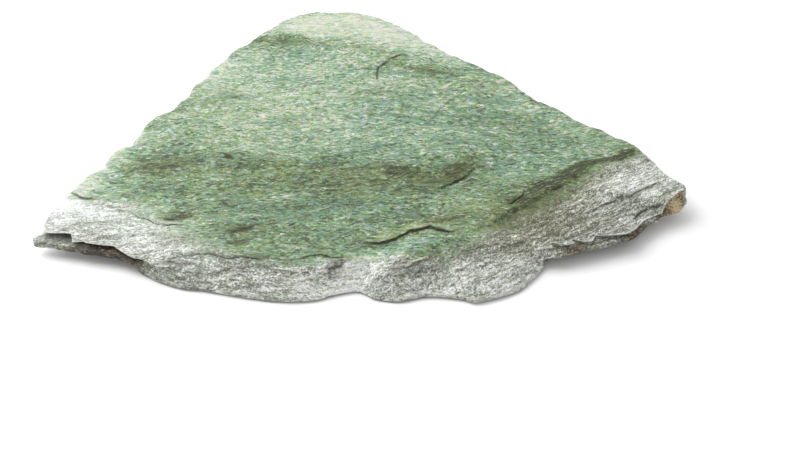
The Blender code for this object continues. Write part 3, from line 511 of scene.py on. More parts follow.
SEAMS = (
    # A ledge's dark seam is a painted shadow under its edge.
    *(Seam(ledge.gap, ledge.crack, ledge.line) for ledge in LEDGES if ledge.crack > 0),
    Seam(0.0006, 0.7, Line(((-0.1280, -0.0170), (-0.1250, -0.0150), (-0.1210, -0.0150)))),
    Seam(0.0004, 0.6, Line(((-0.1020, -0.0300), (-0.0990, -0.0290), (-0.0960, -0.0290)))),
    Seam(0.0008, 1.0, Line(((-0.0940, -0.0295), (-0.0900, -0.0305), (-0.0855, -0.0345)))),
    Seam(0.0004, 0.5, Line(((-0.1410, -0.0485), (-0.1330, -0.0490), (-0.1245, -0.0485)))),
    Seam(0.0005, 0.8, Line(((-0.1245, -0.0805), (-0.1150, -0.0815), (-0.1050, -0.0840)))),
    Seam(0.0010, 1.0, Line((
        (-0.0850, -0.1105), (-0.0775, -0.1055), (-0.0715, -0.1035), (-0.0675, -0.1015),
    ))),
    Seam(0.0005, 0.8, Line(((-0.0820, -0.1175), (-0.0760, -0.1165), (-0.0700, -0.1170)))),
    Seam(0.0005, 0.8, Line(((-0.0380, 0.0010), (-0.0305, 0.0005), (-0.0240, -0.0010)))),
    Seam(0.0004, 0.8, Line((
        (-0.0730, -0.0490), (-0.0670, -0.0520), (-0.0615, -0.0540), (-0.0510, -0.0535),
    ))),
    Seam(0.0004, 0.6, Line(((-0.0475, -0.0545), (-0.0415, -0.0555), (-0.0345, -0.0585)))),
    Seam(0.0004, 0.6, Line((
        (-0.0155, -0.0710), (-0.0120, -0.0660), (-0.0085, -0.0635), (-0.0035, -0.0630), (0.0025, -0.0680),
    ))),
    Seam(0.0005, 0.6, Line(((0.0040, -0.0665), (0.0100, -0.0640), (0.0150, -0.0635)))),
    Seam(0.0005, 0.6, Line(((-0.0050, -0.0990), (0.0005, -0.0960), (0.0070, -0.0950)))),
    Seam(0.0005, 0.6, Line(((0.0235, -0.0945), (0.0280, -0.0935), (0.0325, -0.0915)))),
    Seam(0.0005, 0.6, Line(((0.0490, -0.0975), (0.0550, -0.0930)))),
    Seam(0.0005, 0.7, Line(((0.0510, -0.0410), (0.0575, -0.0390), (0.0640, -0.0375), (0.0760, -0.0370)))),
    Seam(0.0005, 0.7, Line(((-0.0760, 0.0875), (-0.0710, 0.0910), (-0.0655, 0.0925)))),
    Seam(0.0004, 0.6, Line(((-0.0130, 0.0405), (-0.0065, 0.0445), (-0.0005, 0.0465), (0.0145, 0.0525)))),
    Seam(0.0009, 0.4, Line((
        (0.0225, 0.0790), (0.0325, 0.0775), (0.0420, 0.0760), (0.0525, 0.0725), (0.0680, 0.0650),
    ))),
    Seam(0.0005, 0.6, Line(((0.0360, 0.0590), (0.0420, 0.0555), (0.0475, 0.0520)))),
    Seam(0.0005, 0.6, Line(((0.0255, 0.0330), (0.0250, 0.0225)))),
    Seam(0.0005, 0.6, Line(((0.0135, -0.0195), (0.0200, -0.0230)))),
    Seam(0.0005, 0.6, Line(((0.0605, -0.0315), (0.0630, -0.0275), (0.0650, -0.0225)))),
    Seam(0.0005, 0.6, Line(((-0.1510, -0.1105), (-0.1475, -0.1090), (-0.1435, -0.1075)))),
    Seam(0.0005, 0.6, Line(((-0.1570, -0.1165), (-0.1540, -0.1155), (-0.1505, -0.1150)))),
    Seam(0.0004, 0.6, Line((
        (-0.1010, -0.1280), (-0.0850, -0.1315), (-0.0695, -0.1335), (-0.0535, -0.1345),
        (-0.0345, -0.1365),
    ))),
    Seam(0.0004, 0.6, Line(((-0.0545, -0.1335), (-0.0465, -0.1280), (-0.0380, -0.1250)))),
    Seam(0.0009, 0.5, Line((
        (0.0075, -0.1440), (0.0150, -0.1455), (0.0245, -0.1420), (0.0335, -0.1360), (0.0430, -0.1315),
        (0.0505, -0.1280),
    ))),
    Seam(0.0006, -0.6, Line(((-0.0555, -0.0700), (-0.0485, -0.0680), (-0.0405, -0.0675)))),
    Seam(0.0005, -0.6, Line(((-0.0055, -0.0830), (0.0020, -0.0810)))),
    Seam(0.0005, -0.7, Line((
        (0.0555, -0.0620), (0.0605, -0.0565), (0.0645, -0.0520), (0.0705, -0.0480), (0.0785, -0.0510),
    ))),
    Seam(0.0006, -0.5, Line(((0.0465, 0.0210), (0.0505, 0.0300), (0.0565, 0.0375), (0.0655, 0.0460)))),
    Seam(0.0005, -0.5, Line(((0.0370, 0.0055), (0.0475, 0.0045), (0.0525, 0.0170)))),
    # The next three pale seams run along the front break and its lip: partly worn, partly painted highlights.
    Seam(0.0005, -0.8, Line((
        (0.0185, -0.1420), (0.0255, -0.1385), (0.0335, -0.1345), (0.0430, -0.1300),
    ))),
    Seam(0.0006, -0.7, Line((
        (0.0415, -0.1440), (0.0555, -0.1410), (0.0710, -0.1410), (0.0870, -0.1350), (0.1020, -0.1265),
        (0.1175, -0.1125),
    ))),
    Seam(0.0004, -0.6, Line(((-0.0510, -0.1460), (-0.0380, -0.1450), (-0.0235, -0.1425)))),
    Seam(0.0008, 0.4, Line((
        (0.0245, -0.1435), (0.0430, -0.1360), (0.0620, -0.1320), (0.0810, -0.1235), (0.1070, -0.1110),
        (0.1280, -0.1030),
    ))),
    Seam(0.0010, 0.9, Line(((-0.0225, -0.1415), (-0.0160, -0.1385), (-0.0100, -0.1350)))),
    Seam(0.0008, 1.0, Line(((0.0990, -0.0755), (0.1015, -0.0725), (0.1040, -0.0685)))),
)


class Spot(NamedTuple):
    """An oval patch of the plan: its centre, half length, half width and turn, and how strong it is."""

    x: float
    y: float
    length: float
    width: float
    turn: float
    strength: float

    def share(self, x: Array, y: Array) -> Array:
        """The bell curve exp(-d^2), where d is the distance as a share of the oval's half size."""
        dx, dy = x - self.x, y - self.y
        along = (dx * math.cos(self.turn) + dy * math.sin(self.turn)) / self.length
        across = (dy * math.cos(self.turn) - dx * math.sin(self.turn)) / self.width
        return np.exp(-(along**2) - across**2)


def spotted(spots: Sequence[Spot], x: Array, y: Array) -> Array:
    """The sum of the spots' bell curves, each times its strength."""
    return sum((spot.strength * spot.share(x, y) for spot in spots), np.zeros(np.shape(x)))


# Small pits in the top face, whose strength is their depth.
PITS = (
    Spot(-0.1206, -0.0944, 0.0065, 0.0030, 0.1, 0.0013),
    Spot(-0.0749, -0.1060, 0.0075, 0.0030, 0.2, 0.0011),
    Spot(-0.0519, -0.0640, 0.0090, 0.0024, 0.0, 0.0009),
    Spot(-0.0078, -0.0720, 0.0075, 0.0028, 0.2, 0.0010),
    Spot(-0.1659, -0.1130, 0.0050, 0.0024, 0.4, 0.0009),
    Spot(0.0330, -0.0840, 0.0055, 0.0024, 0.0, 0.0008),
    Spot(-0.0900, -0.0318, 0.0045, 0.0016, -0.5, 0.0010),
)

# Where the stone is lighter (above 0) or darker (below 0) than its mean: partly its own tone, partly painted
# light and shade, such as painted light on the upper left of the top face, along the left-hand rim and on the
# lower front break, and painted shade along the broad step.
TONE_AND_LIGHT_SPOTS = (
    Spot(-0.050, 0.050, 0.110, 0.080, -0.2, 0.22),
    Spot(-0.020, 0.138, 0.056, 0.021, -0.10, 0.98),
    Spot(-0.085, 0.117, 0.010, 0.005, 0.1, -0.34),
    Spot(-0.061, 0.117, 0.008, 0.005, 0.1, -0.40),
    Spot(-0.047, 0.116, 0.006, 0.004, 0.1, -0.34),
    Spot(-0.050, 0.150, 0.026, 0.005, 0.1, -0.20),
    Spot(0.020, 0.142, 0.018, 0.005, -0.5, -0.22),
    Spot(0.022, 0.114, 0.026, 0.013, -0.6, 0.64),
    Spot(0.058, 0.090, 0.022, 0.009, -0.7, 0.30),
    Spot(-0.104, 0.076, 0.034, 0.012, 0.9, 0.38),
    Spot(-0.056, 0.108, 0.034, 0.008, 0.0, -0.22),
    Spot(-0.094, 0.096, 0.012, 0.007, 0.2, -0.16),
    Spot(0.002, 0.104, 0.018, 0.006, -0.3, -0.16),
    Spot(0.022, 0.083, 0.014, 0.006, -0.2, -0.28),
    Spot(0.056, 0.071, 0.016, 0.008, -0.3, -0.24),
    Spot(-0.085, 0.070, 0.026, 0.012, 0.0, 0.10),
    Spot(-0.104, 0.036, 0.012, 0.007, 0.0, -0.16),
    Spot(-0.075, 0.006, 0.056, 0.013, 0.0, 0.14),
    Spot(0.012, 0.022, 0.034, 0.008, -0.1, -0.10),
    Spot(0.030, -0.004, 0.020, 0.008, 0.2, -0.14),
    Spot(0.110, 0.036, 0.026, 0.007, -0.75, 0.24),
    Spot(0.140, 0.004, 0.024, 0.009, -0.6, 0.16),
    Spot(0.100, 0.010, 0.034, 0.014, -0.2, -0.10),
    Spot(-0.184, -0.052, 0.046, 0.018, 1.10, 0.74),
    Spot(-0.164, -0.090, 0.034, 0.012, -0.40, 0.20),
    Spot(-0.075, -0.136, 0.030, 0.008, -0.1, -0.10),
    Spot(-0.138, -0.036, 0.026, 0.010, 0.0, -0.22),
    Spot(-0.070, -0.046, 0.050, 0.010, 0.0, -0.04),
    Spot(0.010, -0.054, 0.050, 0.015, 0.0, -0.22),
    Spot(0.062, -0.044, 0.020, 0.008, 0.7, -0.34),
    Spot(-0.110, -0.066, 0.028, 0.006, 0.0, -0.10),
    Spot(0.118, -0.046, 0.026, 0.007, 0.4, 0.10),
    Spot(0.128, -0.068, 0.046, 0.007, 0.66, -0.30),
    Spot(0.070, -0.070, 0.026, 0.007, 0.3, 0.08),
    Spot(0.062, -0.102, 0.012, 0.007, 0.3, -0.12),
    Spot(0.036, -0.104, 0.022, 0.006, 0.3, 0.26),
    Spot(0.028, -0.121, 0.024, 0.007, 0.35, 0.34),
    Spot(-0.118, -0.092, 0.008, 0.005, 0.3, -0.18),
    Spot(-0.076, -0.106, 0.012, 0.005, 0.4, -0.20),
    Spot(-0.122, -0.098, 0.034, 0.012, -0.5, 0.22),
    Spot(-0.146, -0.112, 0.012, 0.008, 0.0, 0.20),
    Spot(-0.110, -0.128, 0.036, 0.008, -0.3, 0.10),
    Spot(-0.035, -0.150, 0.030, 0.006, 0.0, 0.20),
    Spot(-0.006, -0.142, 0.018, 0.010, 0.3, 0.42),
    Spot(0.030, -0.138, 0.022, 0.007, 0.6, -0.16),
    Spot(0.060, -0.146, 0.046, 0.007, 0.1, 0.16),
    Spot(0.104, -0.130, 0.022, 0.009, 0.8, 0.24),
    Spot(0.076, -0.122, 0.030, 0.007, 0.3, -0.04),
    Spot(0.124, -0.096, 0.038, 0.015, 0.45, -0.44),
    Spot(0.150, -0.104, 0.022, 0.005, 0.3, -0.14),
    Spot(0.180, -0.054, 0.024, 0.010, 0.4, 0.22),
)

# Where the top face is more yellow (above 0) or more blue (below 0) than its mean.
HUE_SPOTS = (
    Spot(-0.025, 0.128, 0.040, 0.016, 0.0, 0.1),
    Spot(-0.075, 0.012, 0.050, 0.022, 0.0, 0.4),
    Spot(-0.050, 0.085, 0.040, 0.020, 0.0, -0.3),
    Spot(0.020, 0.000, 0.050, 0.030, 0.0, -0.5),
    Spot(0.110, -0.036, 0.040, 0.012, 0.2, -0.6),
    Spot(0.040, -0.102, 0.034, 0.008, 0.4, 1.3),
    Spot(0.028, -0.122, 0.022, 0.006, 0.35, -1.0),
    Spot(0.078, -0.078, 0.020, 0.008, 0.4, 0.6),
    Spot(-0.070, -0.048, 0.060, 0.012, 0.0, 0.4),
    Spot(0.010, -0.055, 0.060, 0.012, 0.0, 0.6),
    Spot(-0.140, -0.036, 0.024, 0.010, 0.0, 0.5),
    Spot(-0.060, -0.112, 0.030, 0.008, 0.0, 0.4),
    Spot(-0.020, -0.088, 0.060, 0.008, 0.0, -0.3),
    Spot(0.064, -0.042, 0.014, 0.008, 0.6, 1.0),
    Spot(-0.180, -0.075, 0.040, 0.018, 0.6, -0.3),
    Spot(0.118, -0.080, 0.056, 0.013, 0.66, 1.0),
    Spot(0.120, -0.100, 0.040, 0.014, 0.45, 0.8),
)

# Where weathering has turned the upper surface brown.
RUST_SPOTS = (
    Spot(0.1955, -0.0770, 0.0050, 0.0020, 0.5, 0.4),
    Spot(0.2060, -0.0690, 0.0070, 0.0036, 0.8, 0.6),
)

# Where weathering has turned the break below the upper layer's lip brown.
UNDER_SPOTS = (
    Spot(-0.1580, -0.1200, 0.0220, 0.0100, -0.2, 1.0),
    Spot(-0.1930, -0.1130, 0.0160, 0.0040, -0.2, 0.35),
    Spot(0.1790, -0.0960, 0.0120, 0.0050, 0.85, 0.8),
    Spot(0.2050, -0.0715, 0.0095, 0.0080, 0.0, 1.1),
    Spot(0.1350, -0.1170, 0.0120, 0.0060, 0.25, 0.45),
)

# Where dark olive strands run through the top face, with painted shade along the broad step, besides the band
# along the crest.
SHADE_SPOTS = (
    Spot(0.063, -0.042, 0.015, 0.0055, 0.7, 0.80),
    Spot(-0.030, 0.106, 0.026, 0.0050, -0.2, 0.46),
    Spot(0.000, 0.098, 0.016, 0.0050, -0.3, 0.42),
    Spot(0.024, -0.046, 0.022, 0.0050, -0.1, 0.83),
    Spot(-0.050, -0.040, 0.034, 0.0045, 0.0, 0.68),
    Spot(-0.018, -0.062, 0.020, 0.0035, 0.1, 0.68),
    Spot(-0.092, -0.030, 0.012, 0.0030, -0.4, 0.90),
    Spot(-0.136, -0.040, 0.020, 0.0060, 0.0, 0.68),
    Spot(-0.075, -0.064, 0.030, 0.0035, 0.0, 0.52),
    Spot(-0.072, 0.114, 0.030, 0.0065, 0.0, 0.50),
    Spot(0.044, 0.076, 0.026, 0.0040, -0.2, 0.54),
    Spot(0.080, 0.058, 0.020, 0.0036, -0.5, 0.48),
    Spot(0.006, 0.045, 0.016, 0.0040, 0.2, 0.52),
    Spot(0.046, -0.098, 0.012, 0.0030, 0.4, 0.90),
    Spot(-0.078, -0.106, 0.012, 0.0035, 0.4, 0.75),
    Spot(-0.119, -0.092, 0.012, 0.0050, 0.2, 0.83),
)

# Bites out of the upper layer's lip, whose strength is their depth.
BITES = (
    Spot(0.1265, -0.1180, 0.0032, 0.0090, 0.25, 0.0050),
    Spot(0.1400, -0.1140, 0.0022, 0.0090, 0.25, 0.0045),
    Spot(0.1550, -0.1095, 0.0055, 0.0090, 0.25, 0.0038),
    Spot(-0.1830, -0.1120, 0.0030, 0.0080, 0.0, 0.0016),
    Spot(-0.1600, -0.1150, 0.0040, 0.0080, 0.0, 0.0018),
)

# Painted light and shade on the break below the lip: painted shade in the split and under the lips, and
# painted light on the right-hand tip's end face.
UNDER_LIGHT_AND_SHADE = (
    Spot(-0.1600, -0.1200, 0.0300, 0.0120, -0.2, -0.80),
    Spot(-0.2080, -0.1070, 0.0090, 0.0060, 0.0, -0.14),
    Spot(0.1640, -0.1070, 0.0160, 0.0060, 0.5, -0.30),
    Spot(0.1800, -0.0950, 0.0140, 0.0050, 0.85, -0.40),
    Spot(0.1960, -0.0790, 0.0060, 0.0040, 0.5, -0.30),
    Spot(0.2050, -0.0725, 0.0055, 0.0050, 0.4, 0.95),
    Spot(0.1350, -0.1170, 0.0140, 0.0060, 0.25, -0.24),
)


@dataclass(frozen=True)
class Stations:
    """What the stone's outline and broken edge are at places around the rim.

    The slant is the length of a ray's stretch that crosses a band of unit width along the rim, and along
    is the distance walked along the rim from the left tip.
    """

    angle: Array
    radius: Array
    slant: Array
    along: Array
    section: Section
    crest: Array
    base: Array
    lip: Array

    def columns(self) -> Array:
        """All the values but the angle, as the columns of one table."""
        values = (self.radius, self.slant, self.along, self.crest, self.base, self.lip)
        return np.column_stack([*values, *self.section])

    def at(self, angle: Array) -> "Stations":
        """The same values at other angles.

        Args:
            angle: The angles.

        Returns:
            The stations there, each value interpolated from the left tip round and back to it.
        """
        turned = (self.angle - self.angle[0]) % TURN
        wanted = (angle - self.angle[0]) % TURN
        table = [np.interp(wanted, turned, column) for column in self.columns().T]
        radius, slant, along, crest, base, lip, *section = table
        return Stations(angle, radius, slant, along, Section(*section), crest, base, lip)


@dataclass(frozen=True)
class Outline:
    """The stone's plan: its rim, crest and base lines as radii around one centre."""

    centre: tuple[float, float] = (-0.010, -0.030)
    front_density: float = 0.35
    longest_slant: float = 2.4
    chord: float = 0.007
    back_chamfer: float = 0.0042
    chamfer_change: float = 0.2
    chip_length: float = 0.016
    ragged: float = 0.0005
    ragged_length: float = 0.0065
    front_starts: tuple[float, float] = (-0.05, -0.09)

    def polar(self, x: Array, y: Array) -> tuple[Array, Array]:
        """The angle and radius of points around the centre."""
        away_x, away_y = x - self.centre[0], y - self.centre[1]
        return np.arctan2(away_y, away_x), np.hypot(away_x, away_y)

    def plan(self, angle: Array, radius: Array) -> tuple[Array, Array]:
        """The X and Y of points given by angle and radius."""
        return self.centre[0] + radius * np.cos(angle), self.centre[1] + radius * np.sin(angle)

    def radius_of(self, points: Sequence[tuple[float, float]], angle: Array) -> Array:
        """The radius, at each angle, of the smooth closed curve through the points."""
        curve_angle, curve_radius = self.polar(*closed_curve(points).T)
        order = np.argsort(curve_angle)
        return np.interp(angle, curve_angle[order], curve_radius[order], period=TURN)

    def section_at(self, angle: Array) -> Section:
        """The section that the broken edge has at each angle.

        Args:
            angle: The angles.

        Returns:
            The section, each of its fields blended between the rim's corners.
        """
        corners = np.array([(point.x, point.y) for point in RIM])
        corner_angle, _ = self.polar(*corners.T)
        order = np.argsort(corner_angle)
        table = np.array([point.section for point in RIM])[order]
        return Section(*(np.interp(angle, corner_angle[order], column, period=TURN) for column in table.T))

    def stations(self, count: int, edge: "BrokenEdge") -> Stations:
        """Places around the rim, closer together along the front.

        Args:
            count: How many.
            edge: The broken edge, whose chips and bowls move the lip.

        Returns:
            The places at equal steps of the distance walked along the rim's curve, where a step along the
            front counts for (1 + front density) times its length.
        """
        curve = closed_curve([(point.x, point.y) for point in RIM])
        length = np.linalg.norm(np.roll(curve, -1, axis=0) - curve, axis=1)
        front = ramp(curve[:, 1], *self.front_starts)
        weighted = np.concatenate([[0.0], np.cumsum(length * (1.0 + self.front_density * front))])
        distance = np.concatenate([[0.0], np.cumsum(length)])
        looped = np.vstack([curve, curve[:1]])
        places = np.arange(count) / count * weighted[-1]
        x, y = (np.interp(places, weighted, looped[:, k]) for k in (0, 1))
        angle, radius = self.polar(x, y)
        along = np.interp(places, weighted, distance)

        def walked(way: float) -> Array:
            """The places that lie this much further round the rim, as (x, y) columns."""
            moved = along + way
            return np.stack([np.interp(moved, distance, line, period=distance[-1]) for line in looped.T])

        ahead_x, ahead_y = walked(self.chord) - walked(-self.chord)
        facing = np.abs(ahead_y * np.cos(angle) - ahead_x * np.sin(angle)) / np.hypot(ahead_x, ahead_y)
        slant = 1.0 / np.maximum(facing, 1.0 / self.longest_slant)
        section = self.section_at(angle)
        chipped = 2.0 * chips(along / self.chip_length, 4) - 1.0
        chamfer = self.back_chamfer * (1.0 + self.chamfer_change * chipped)
        ragged = self.ragged * rough_noise(along / self.ragged_length, np.zeros_like(along), 19, 3)
        crest = np.minimum(radius - (chamfer + ragged) * slant, self.radius_of(CREST, angle))
        base = np.minimum(radius - section.edge_in * slant, self.radius_of(BASE, angle))
        bare = Stations(angle, radius, slant, along, section, crest, base, radius - section.lip_in * slant)
        x, y = self.plan(angle, bare.lip)
        return replace(bare, lip=bare.lip + slant * edge.ragged(bare, 0, 0, x, y, section.lip_z))


class Surface(NamedTuple):
    """Points of the stone, with what its finish needs to know about each.

    Fibre is the place measured along the break's fibres, across them and down through the layers. Green is 1
    on the green top face and 0 on the grey break, and tone and hue are the top face's drift from its mean,
    the tone partly painted light and shade. Dark is painted shade in pits, recesses, low on the front break
    and on the resting face, pale is worn rims with a painted highlight, rust is weathering, and crease is the
    dark crest with its painted shade. Seam is the distance across the nearest seam, in its half widths, and
    crack is that seam's strength, which for a ledge paints the shadow under it.
    """

    place: Array
    fibre: Array
    green: Array
    tone: Array
    hue: Array
    dark: Array
    pale: Array
    rust: Array
    crease: Array
    seam: Array
    crack: Array

    @staticmethod
    def joined(parts: Sequence["Surface"]) -> "Surface":
        """The parts' points, one after the other."""
        return Surface(*(np.concatenate(columns) for columns in zip(*parts, strict=True)))


class Wave(NamedTuple):
    """A slow wave of the top face."""

    height: float
    length: float
    turn: float
    phase: float


class Flakes(NamedTuple):
    """Low flakes with broken edges: a staircase of two noises, whose risers run along their contours."""

    rise: float
    broad: Grain
    fine: Grain
    sharpness: float

    def at(self, u: Array, v: Array) -> Array:
        """The flakes' height at points, where u runs along the grain and v across it."""
        return self.rise * stairs(self.broad.at(u, v) + self.fine.at(u, v), self.sharpness)


@dataclass(frozen=True)
class TopFace:
    """The green cleft face: nearly level, with slow waves, a broad step, a terrace, grain and pits."""

    thickness: float = 0.0245
    waves: tuple[Wave, ...] = (
        Wave(0.0007, 0.150, 0.35, 0.6), Wave(0.0005, 0.092, 1.35, 2.1),
        Wave(0.0004, 0.061, 1.75, 4.0), Wave(0.0003, 0.043, 0.95, 5.2),
    )
    step_line: Line = Line((
        (-0.240, -0.040), (-0.110, -0.044), (-0.016, -0.052), (0.030, -0.048), (0.075, -0.034),
    ))
    step_height: float = 0.0034
    step_run: float = 0.026
    step_ends: tuple[float, float] = (0.060, 0.110)
    terrace_line: Line = Line((
        (-0.110, 0.118), (-0.050, 0.112), (-0.016, 0.104), (0.006, 0.090), (0.060, 0.060),
    ))
    terrace_height: float = 0.0014
    terrace_run: float = 0.020
    grain_height: float = 0.00045
    grain_length: float = 0.040
    grain_width: float = 0.010
    grain_bend: float = 0.35
    grain_bend_length: float = 0.035
    flakes: tuple[Flakes, ...] = (
        Flakes(0.00026, Grain(2.6, 0.046, 0.015, 41), Grain(0.5, 0.012, 0.005, 43), 7.0),
        Flakes(0.00018, Grain(2.2, 0.020, 0.0075, 45), Grain(0.4, 0.006, 0.003, 46), 5.0),
    )
    streaks: tuple[Grain, ...] = (
        Grain(0.00028, 0.016, 0.0042, 47), Grain(0.00018, 0.0068, 0.0024, 53),
        Grain(0.00012, 0.0034, 0.0020, 59),
    )

    def form(self, x: Array, y: Array) -> Array:
        """The face without its fine relief.

        Args:
            x: The points' X.
            y: The points' Y.

        Returns:
            The height: the thickness, plus sine waves, a broad step, a terrace and grain, less the pits.
        """
        z = np.full(np.shape(x), self.thickness)
        for wave in self.waves:
            downwind = x * math.cos(wave.turn) + y * math.sin(wave.turn)
            z = z + wave.height * np.sin(TURN * downwind / wave.length + wave.phase)
        step = smooth_step(0.5 + (y - self.step_line.y_at(x)) / self.step_run) - 0.5
        z = z + self.step_height * step * (1 - ramp(x, *self.step_ends))
        terrace = smooth_step(0.5 + (y - self.terrace_line.y_at(x)) / self.terrace_run)
        z = z + self.terrace_height * (terrace - 1.0)
        bend = self.grain_bend * np.sin(x / self.grain_bend_length)
        z = z + self.grain_height * noise(x / self.grain_length, y / self.grain_width + bend, 7)
        return z - spotted(PITS, x, y)

    def relief(self, u: Array, v: Array) -> Array:
        """The fine relief, with u along the grain and v across it: flakes of two sizes, streaks of three."""
        return sum(part.at(u, v) for part in (*self.flakes, *self.streaks))


@dataclass(frozen=True)
class BrokenEdge:
    """The grey break around the stone: bowls, and layers of different reach."""

    scallop_length: float = 0.027
    scallop_drop: float = 0.013
    scallop_mean: float = 0.25
    scallop_start: float = 0.005
    scallop_below_lip: float = 0.7
    scallop_row_gap: float = 0.0055
    layer_reach: tuple[float, float, float] = (0.0014, 0.0044, 0.0056)
    layer_length: float = 0.019
    layer_uneven: float = 0.0006
    riser_run: float = 0.0016
    seam_fade: float = 0.010
    lip_edge: float = 0.0011
    least_lip_edge: float = 0.0003
    base_step: float = 0.0004
    row_counts: tuple[int, ...] = (2, 4, 5, 4, 2, 3, 2, 3)
    relief_share: float = 0.9
    sunk_depth: tuple[float, float] = (0.001, 0.011)
    pale_height: float = 0.0038
    pale_half: float = 0.0006
    thin_layers: tuple[Grain, ...] = (Grain(0.00045, 0.034, 0.0026, 61), Grain(0.00040, 0.016, 0.0011, 67))
    streaks: tuple[Grain, ...] = (Grain(0.00042, 0.026, 0.0046, 73), Grain(0.00026, 0.011, 0.0028, 79))
    lump_height: float = 0.00036
    lump_length: float = 0.0075
    lump_width: float = 0.0052

    def bowls(self, x: Array, y: Array, z: Array) -> Array:
        """The bowls' height around 0, for a depth of 1: across X, and down the front by Y plus Z."""
        return scallops(x / self.scallop_length, (y + z) / self.scallop_drop, 3) - self.scallop_mean

    def seam(self, along: Array) -> Array:
        """0 where the rim's walk starts and ends, 1 away from it, so that its patterns meet there."""
        return smooth_step(np.minimum(along, along.max() - along) / self.seam_fade)

    def ragged(self, here: Stations, number: int, layer: int, x: Array, y: Array, z: Array) -> Array:
        """How far a row of the broken edge stands out of its section, across the rim.

        Args:
            here: The stations around the rim.
            number: The row's number, which picks its unevenness.
            layer: The layer that it belongs to, which picks its chips.
            x: The row's X.
            y: The row's Y.
            z: The row's height.

        Returns:
            Where it is layered, minus the layer's reach times its chips, plus a noise that is a third as
            long. Elsewhere, the bowls, fading out at the floor. The lip is bitten too.
        """
        chipped = -self.layer_reach[layer] * chips(here.along / self.layer_length, layer)
        uneven = noise(here.along / self.layer_length * 3, np.full_like(here.along, number * 1.9), 17)
        bowls = self.scallop_below_lip * here.section.scallop * self.bowls(x, y, z)
        layered = self.seam(here.along) * here.section.layered * (chipped + self.layer_uneven * uneven)
        bitten = spotted(BITES, x, y) * (layer == 0)
        return layered + (1 - here.section.layered) * bowls * smooth_step(z / self.scallop_start) - bitten

    def layers(self, along: Array, z: Array) -> Array:
        """How far each thin layer stands out of the break, by noises long along the edge and thin in Z."""
        return sum(layer.at(along, z) for layer in self.thin_layers)

    def grit(self, u: Array, v: Array) -> Array:
        """The break's rough grain: long streaks, and lumps of 7 mm and less."""
        lumps = self.lump_height * rough_noise(u / self.lump_length, v / self.lump_width, 71, 3)
        return sum(streak.at(u, v) for streak in self.streaks) + lumps


@dataclass
class StoneGrid:
    """How the closed surface's points are numbered and joined.

    The upper grid has cells_x by cells_y cells. Its border is the first ring of the broken edge, which has
    as many points, and the resting face has a fourth of the cells each way.
    """

    cells_x: int = 328
    cells_y: int = 200
    coarsening: int = 4

    @property
    def around(self) -> int:
        """How many points each ring has."""
        return 2 * (self.cells_x + self.cells_y)

    @property
    def coarse_cells(self) -> tuple[int, int]:
        """The resting face's cells along X and along Y."""
        return self.cells_x // self.coarsening, self.cells_y // self.coarsening

    def shares(self, cells_x: int, cells_y: int) -> tuple[Array, Array]:
        """Where a grid's points lie between the centre and the ring around it.

        Args:
            cells_x: The grid's cells along X.
            cells_y: Its cells along Y.

        Returns:
            The share of the way out, 0 in the middle and 1 on the border, and the place along the ring that
            the point's ray meets, in ring steps: both follow squares around the grid's middle.
        """
        half_x, half_y = cells_x // 2, cells_y // 2
        i, j = np.meshgrid(np.arange(-half_x, half_x + 1), np.arange(-half_y, half_y + 1), indexing="ij")
        share = np.maximum(np.abs(i) / half_x, np.abs(j) / half_y)
        safe = np.where(share > 0, share, 1.0)
        i, j = i / safe, j / safe
        bottom = j <= -half_y + 1e-6
        right = (i >= half_x - 1e-6) & ~bottom
        top = (j >= half_y - 1e-6) & ~bottom & ~right
        on_left = np.where(j <= 0, -j, 3 * half_y + 4 * half_x + (half_y - j))
        on_top = 3 * half_y + 2 * half_x + (half_x - i)
        on_right = half_y + 2 * half_x + (j + half_y)
        on_bottom = half_y + (i + half_x)
        place = np.where(bottom, on_bottom, np.where(right, on_right, np.where(top, on_top, on_left)))
        return share, place % (2 * (cells_x + cells_y))

    @staticmethod
    def border(cells_x: int, cells_y: int) -> Array:
        """The numbers of a grid's border points, in the order of the ring around it."""
        number = np.arange((cells_x + 1) * (cells_y + 1)).reshape(cells_x + 1, cells_y + 1)
        loop = np.concatenate([number[0, ::-1], number[1:, 0], number[-1, 1:], number[-2:0:-1, -1]])
        return np.roll(loop, -(cells_y // 2))

    @staticmethod
    def grid_faces(numbers: Array) -> Array:
        """The four corners of each cell of a grid of point numbers, anticlockwise from above."""
        corners = (numbers[:-1, :-1], numbers[1:, :-1], numbers[1:, 1:], numbers[:-1, 1:])
        return np.stack([corner.ravel() for corner in corners], axis=1)

    @staticmethod
    def band_faces(upper: Array, lower: Array) -> Array:
        """The faces of a band between a ring and the next ring down or in, facing out."""
        return np.stack([upper, lower, np.roll(lower, -1), np.roll(upper, -1)], axis=1)

    @staticmethod
    def fan_faces(fine: Array, coarse: Array) -> Array:
        """The triangles between a fine ring and a coarse one with a point for every four of the fine one's.

        Args:
            fine: The fine ring's point numbers.
            coarse: The coarse ring's.

        Returns:
            For each coarse step, two fans of two triangles around its two ends, and one that joins the ends.
        """
        steps = [np.roll(fine, -k)[::4] for k in range(5)]
        after = np.roll(coarse, -1)
        fans = [
            (steps[0], coarse, steps[1]), (steps[1], coarse, steps[2]), (coarse, after, steps[2]),
            (steps[2], after, steps[3]), (steps[3], after, steps[4]),
        ]
        return np.concatenate([np.stack(fan, axis=1) for fan in fans])


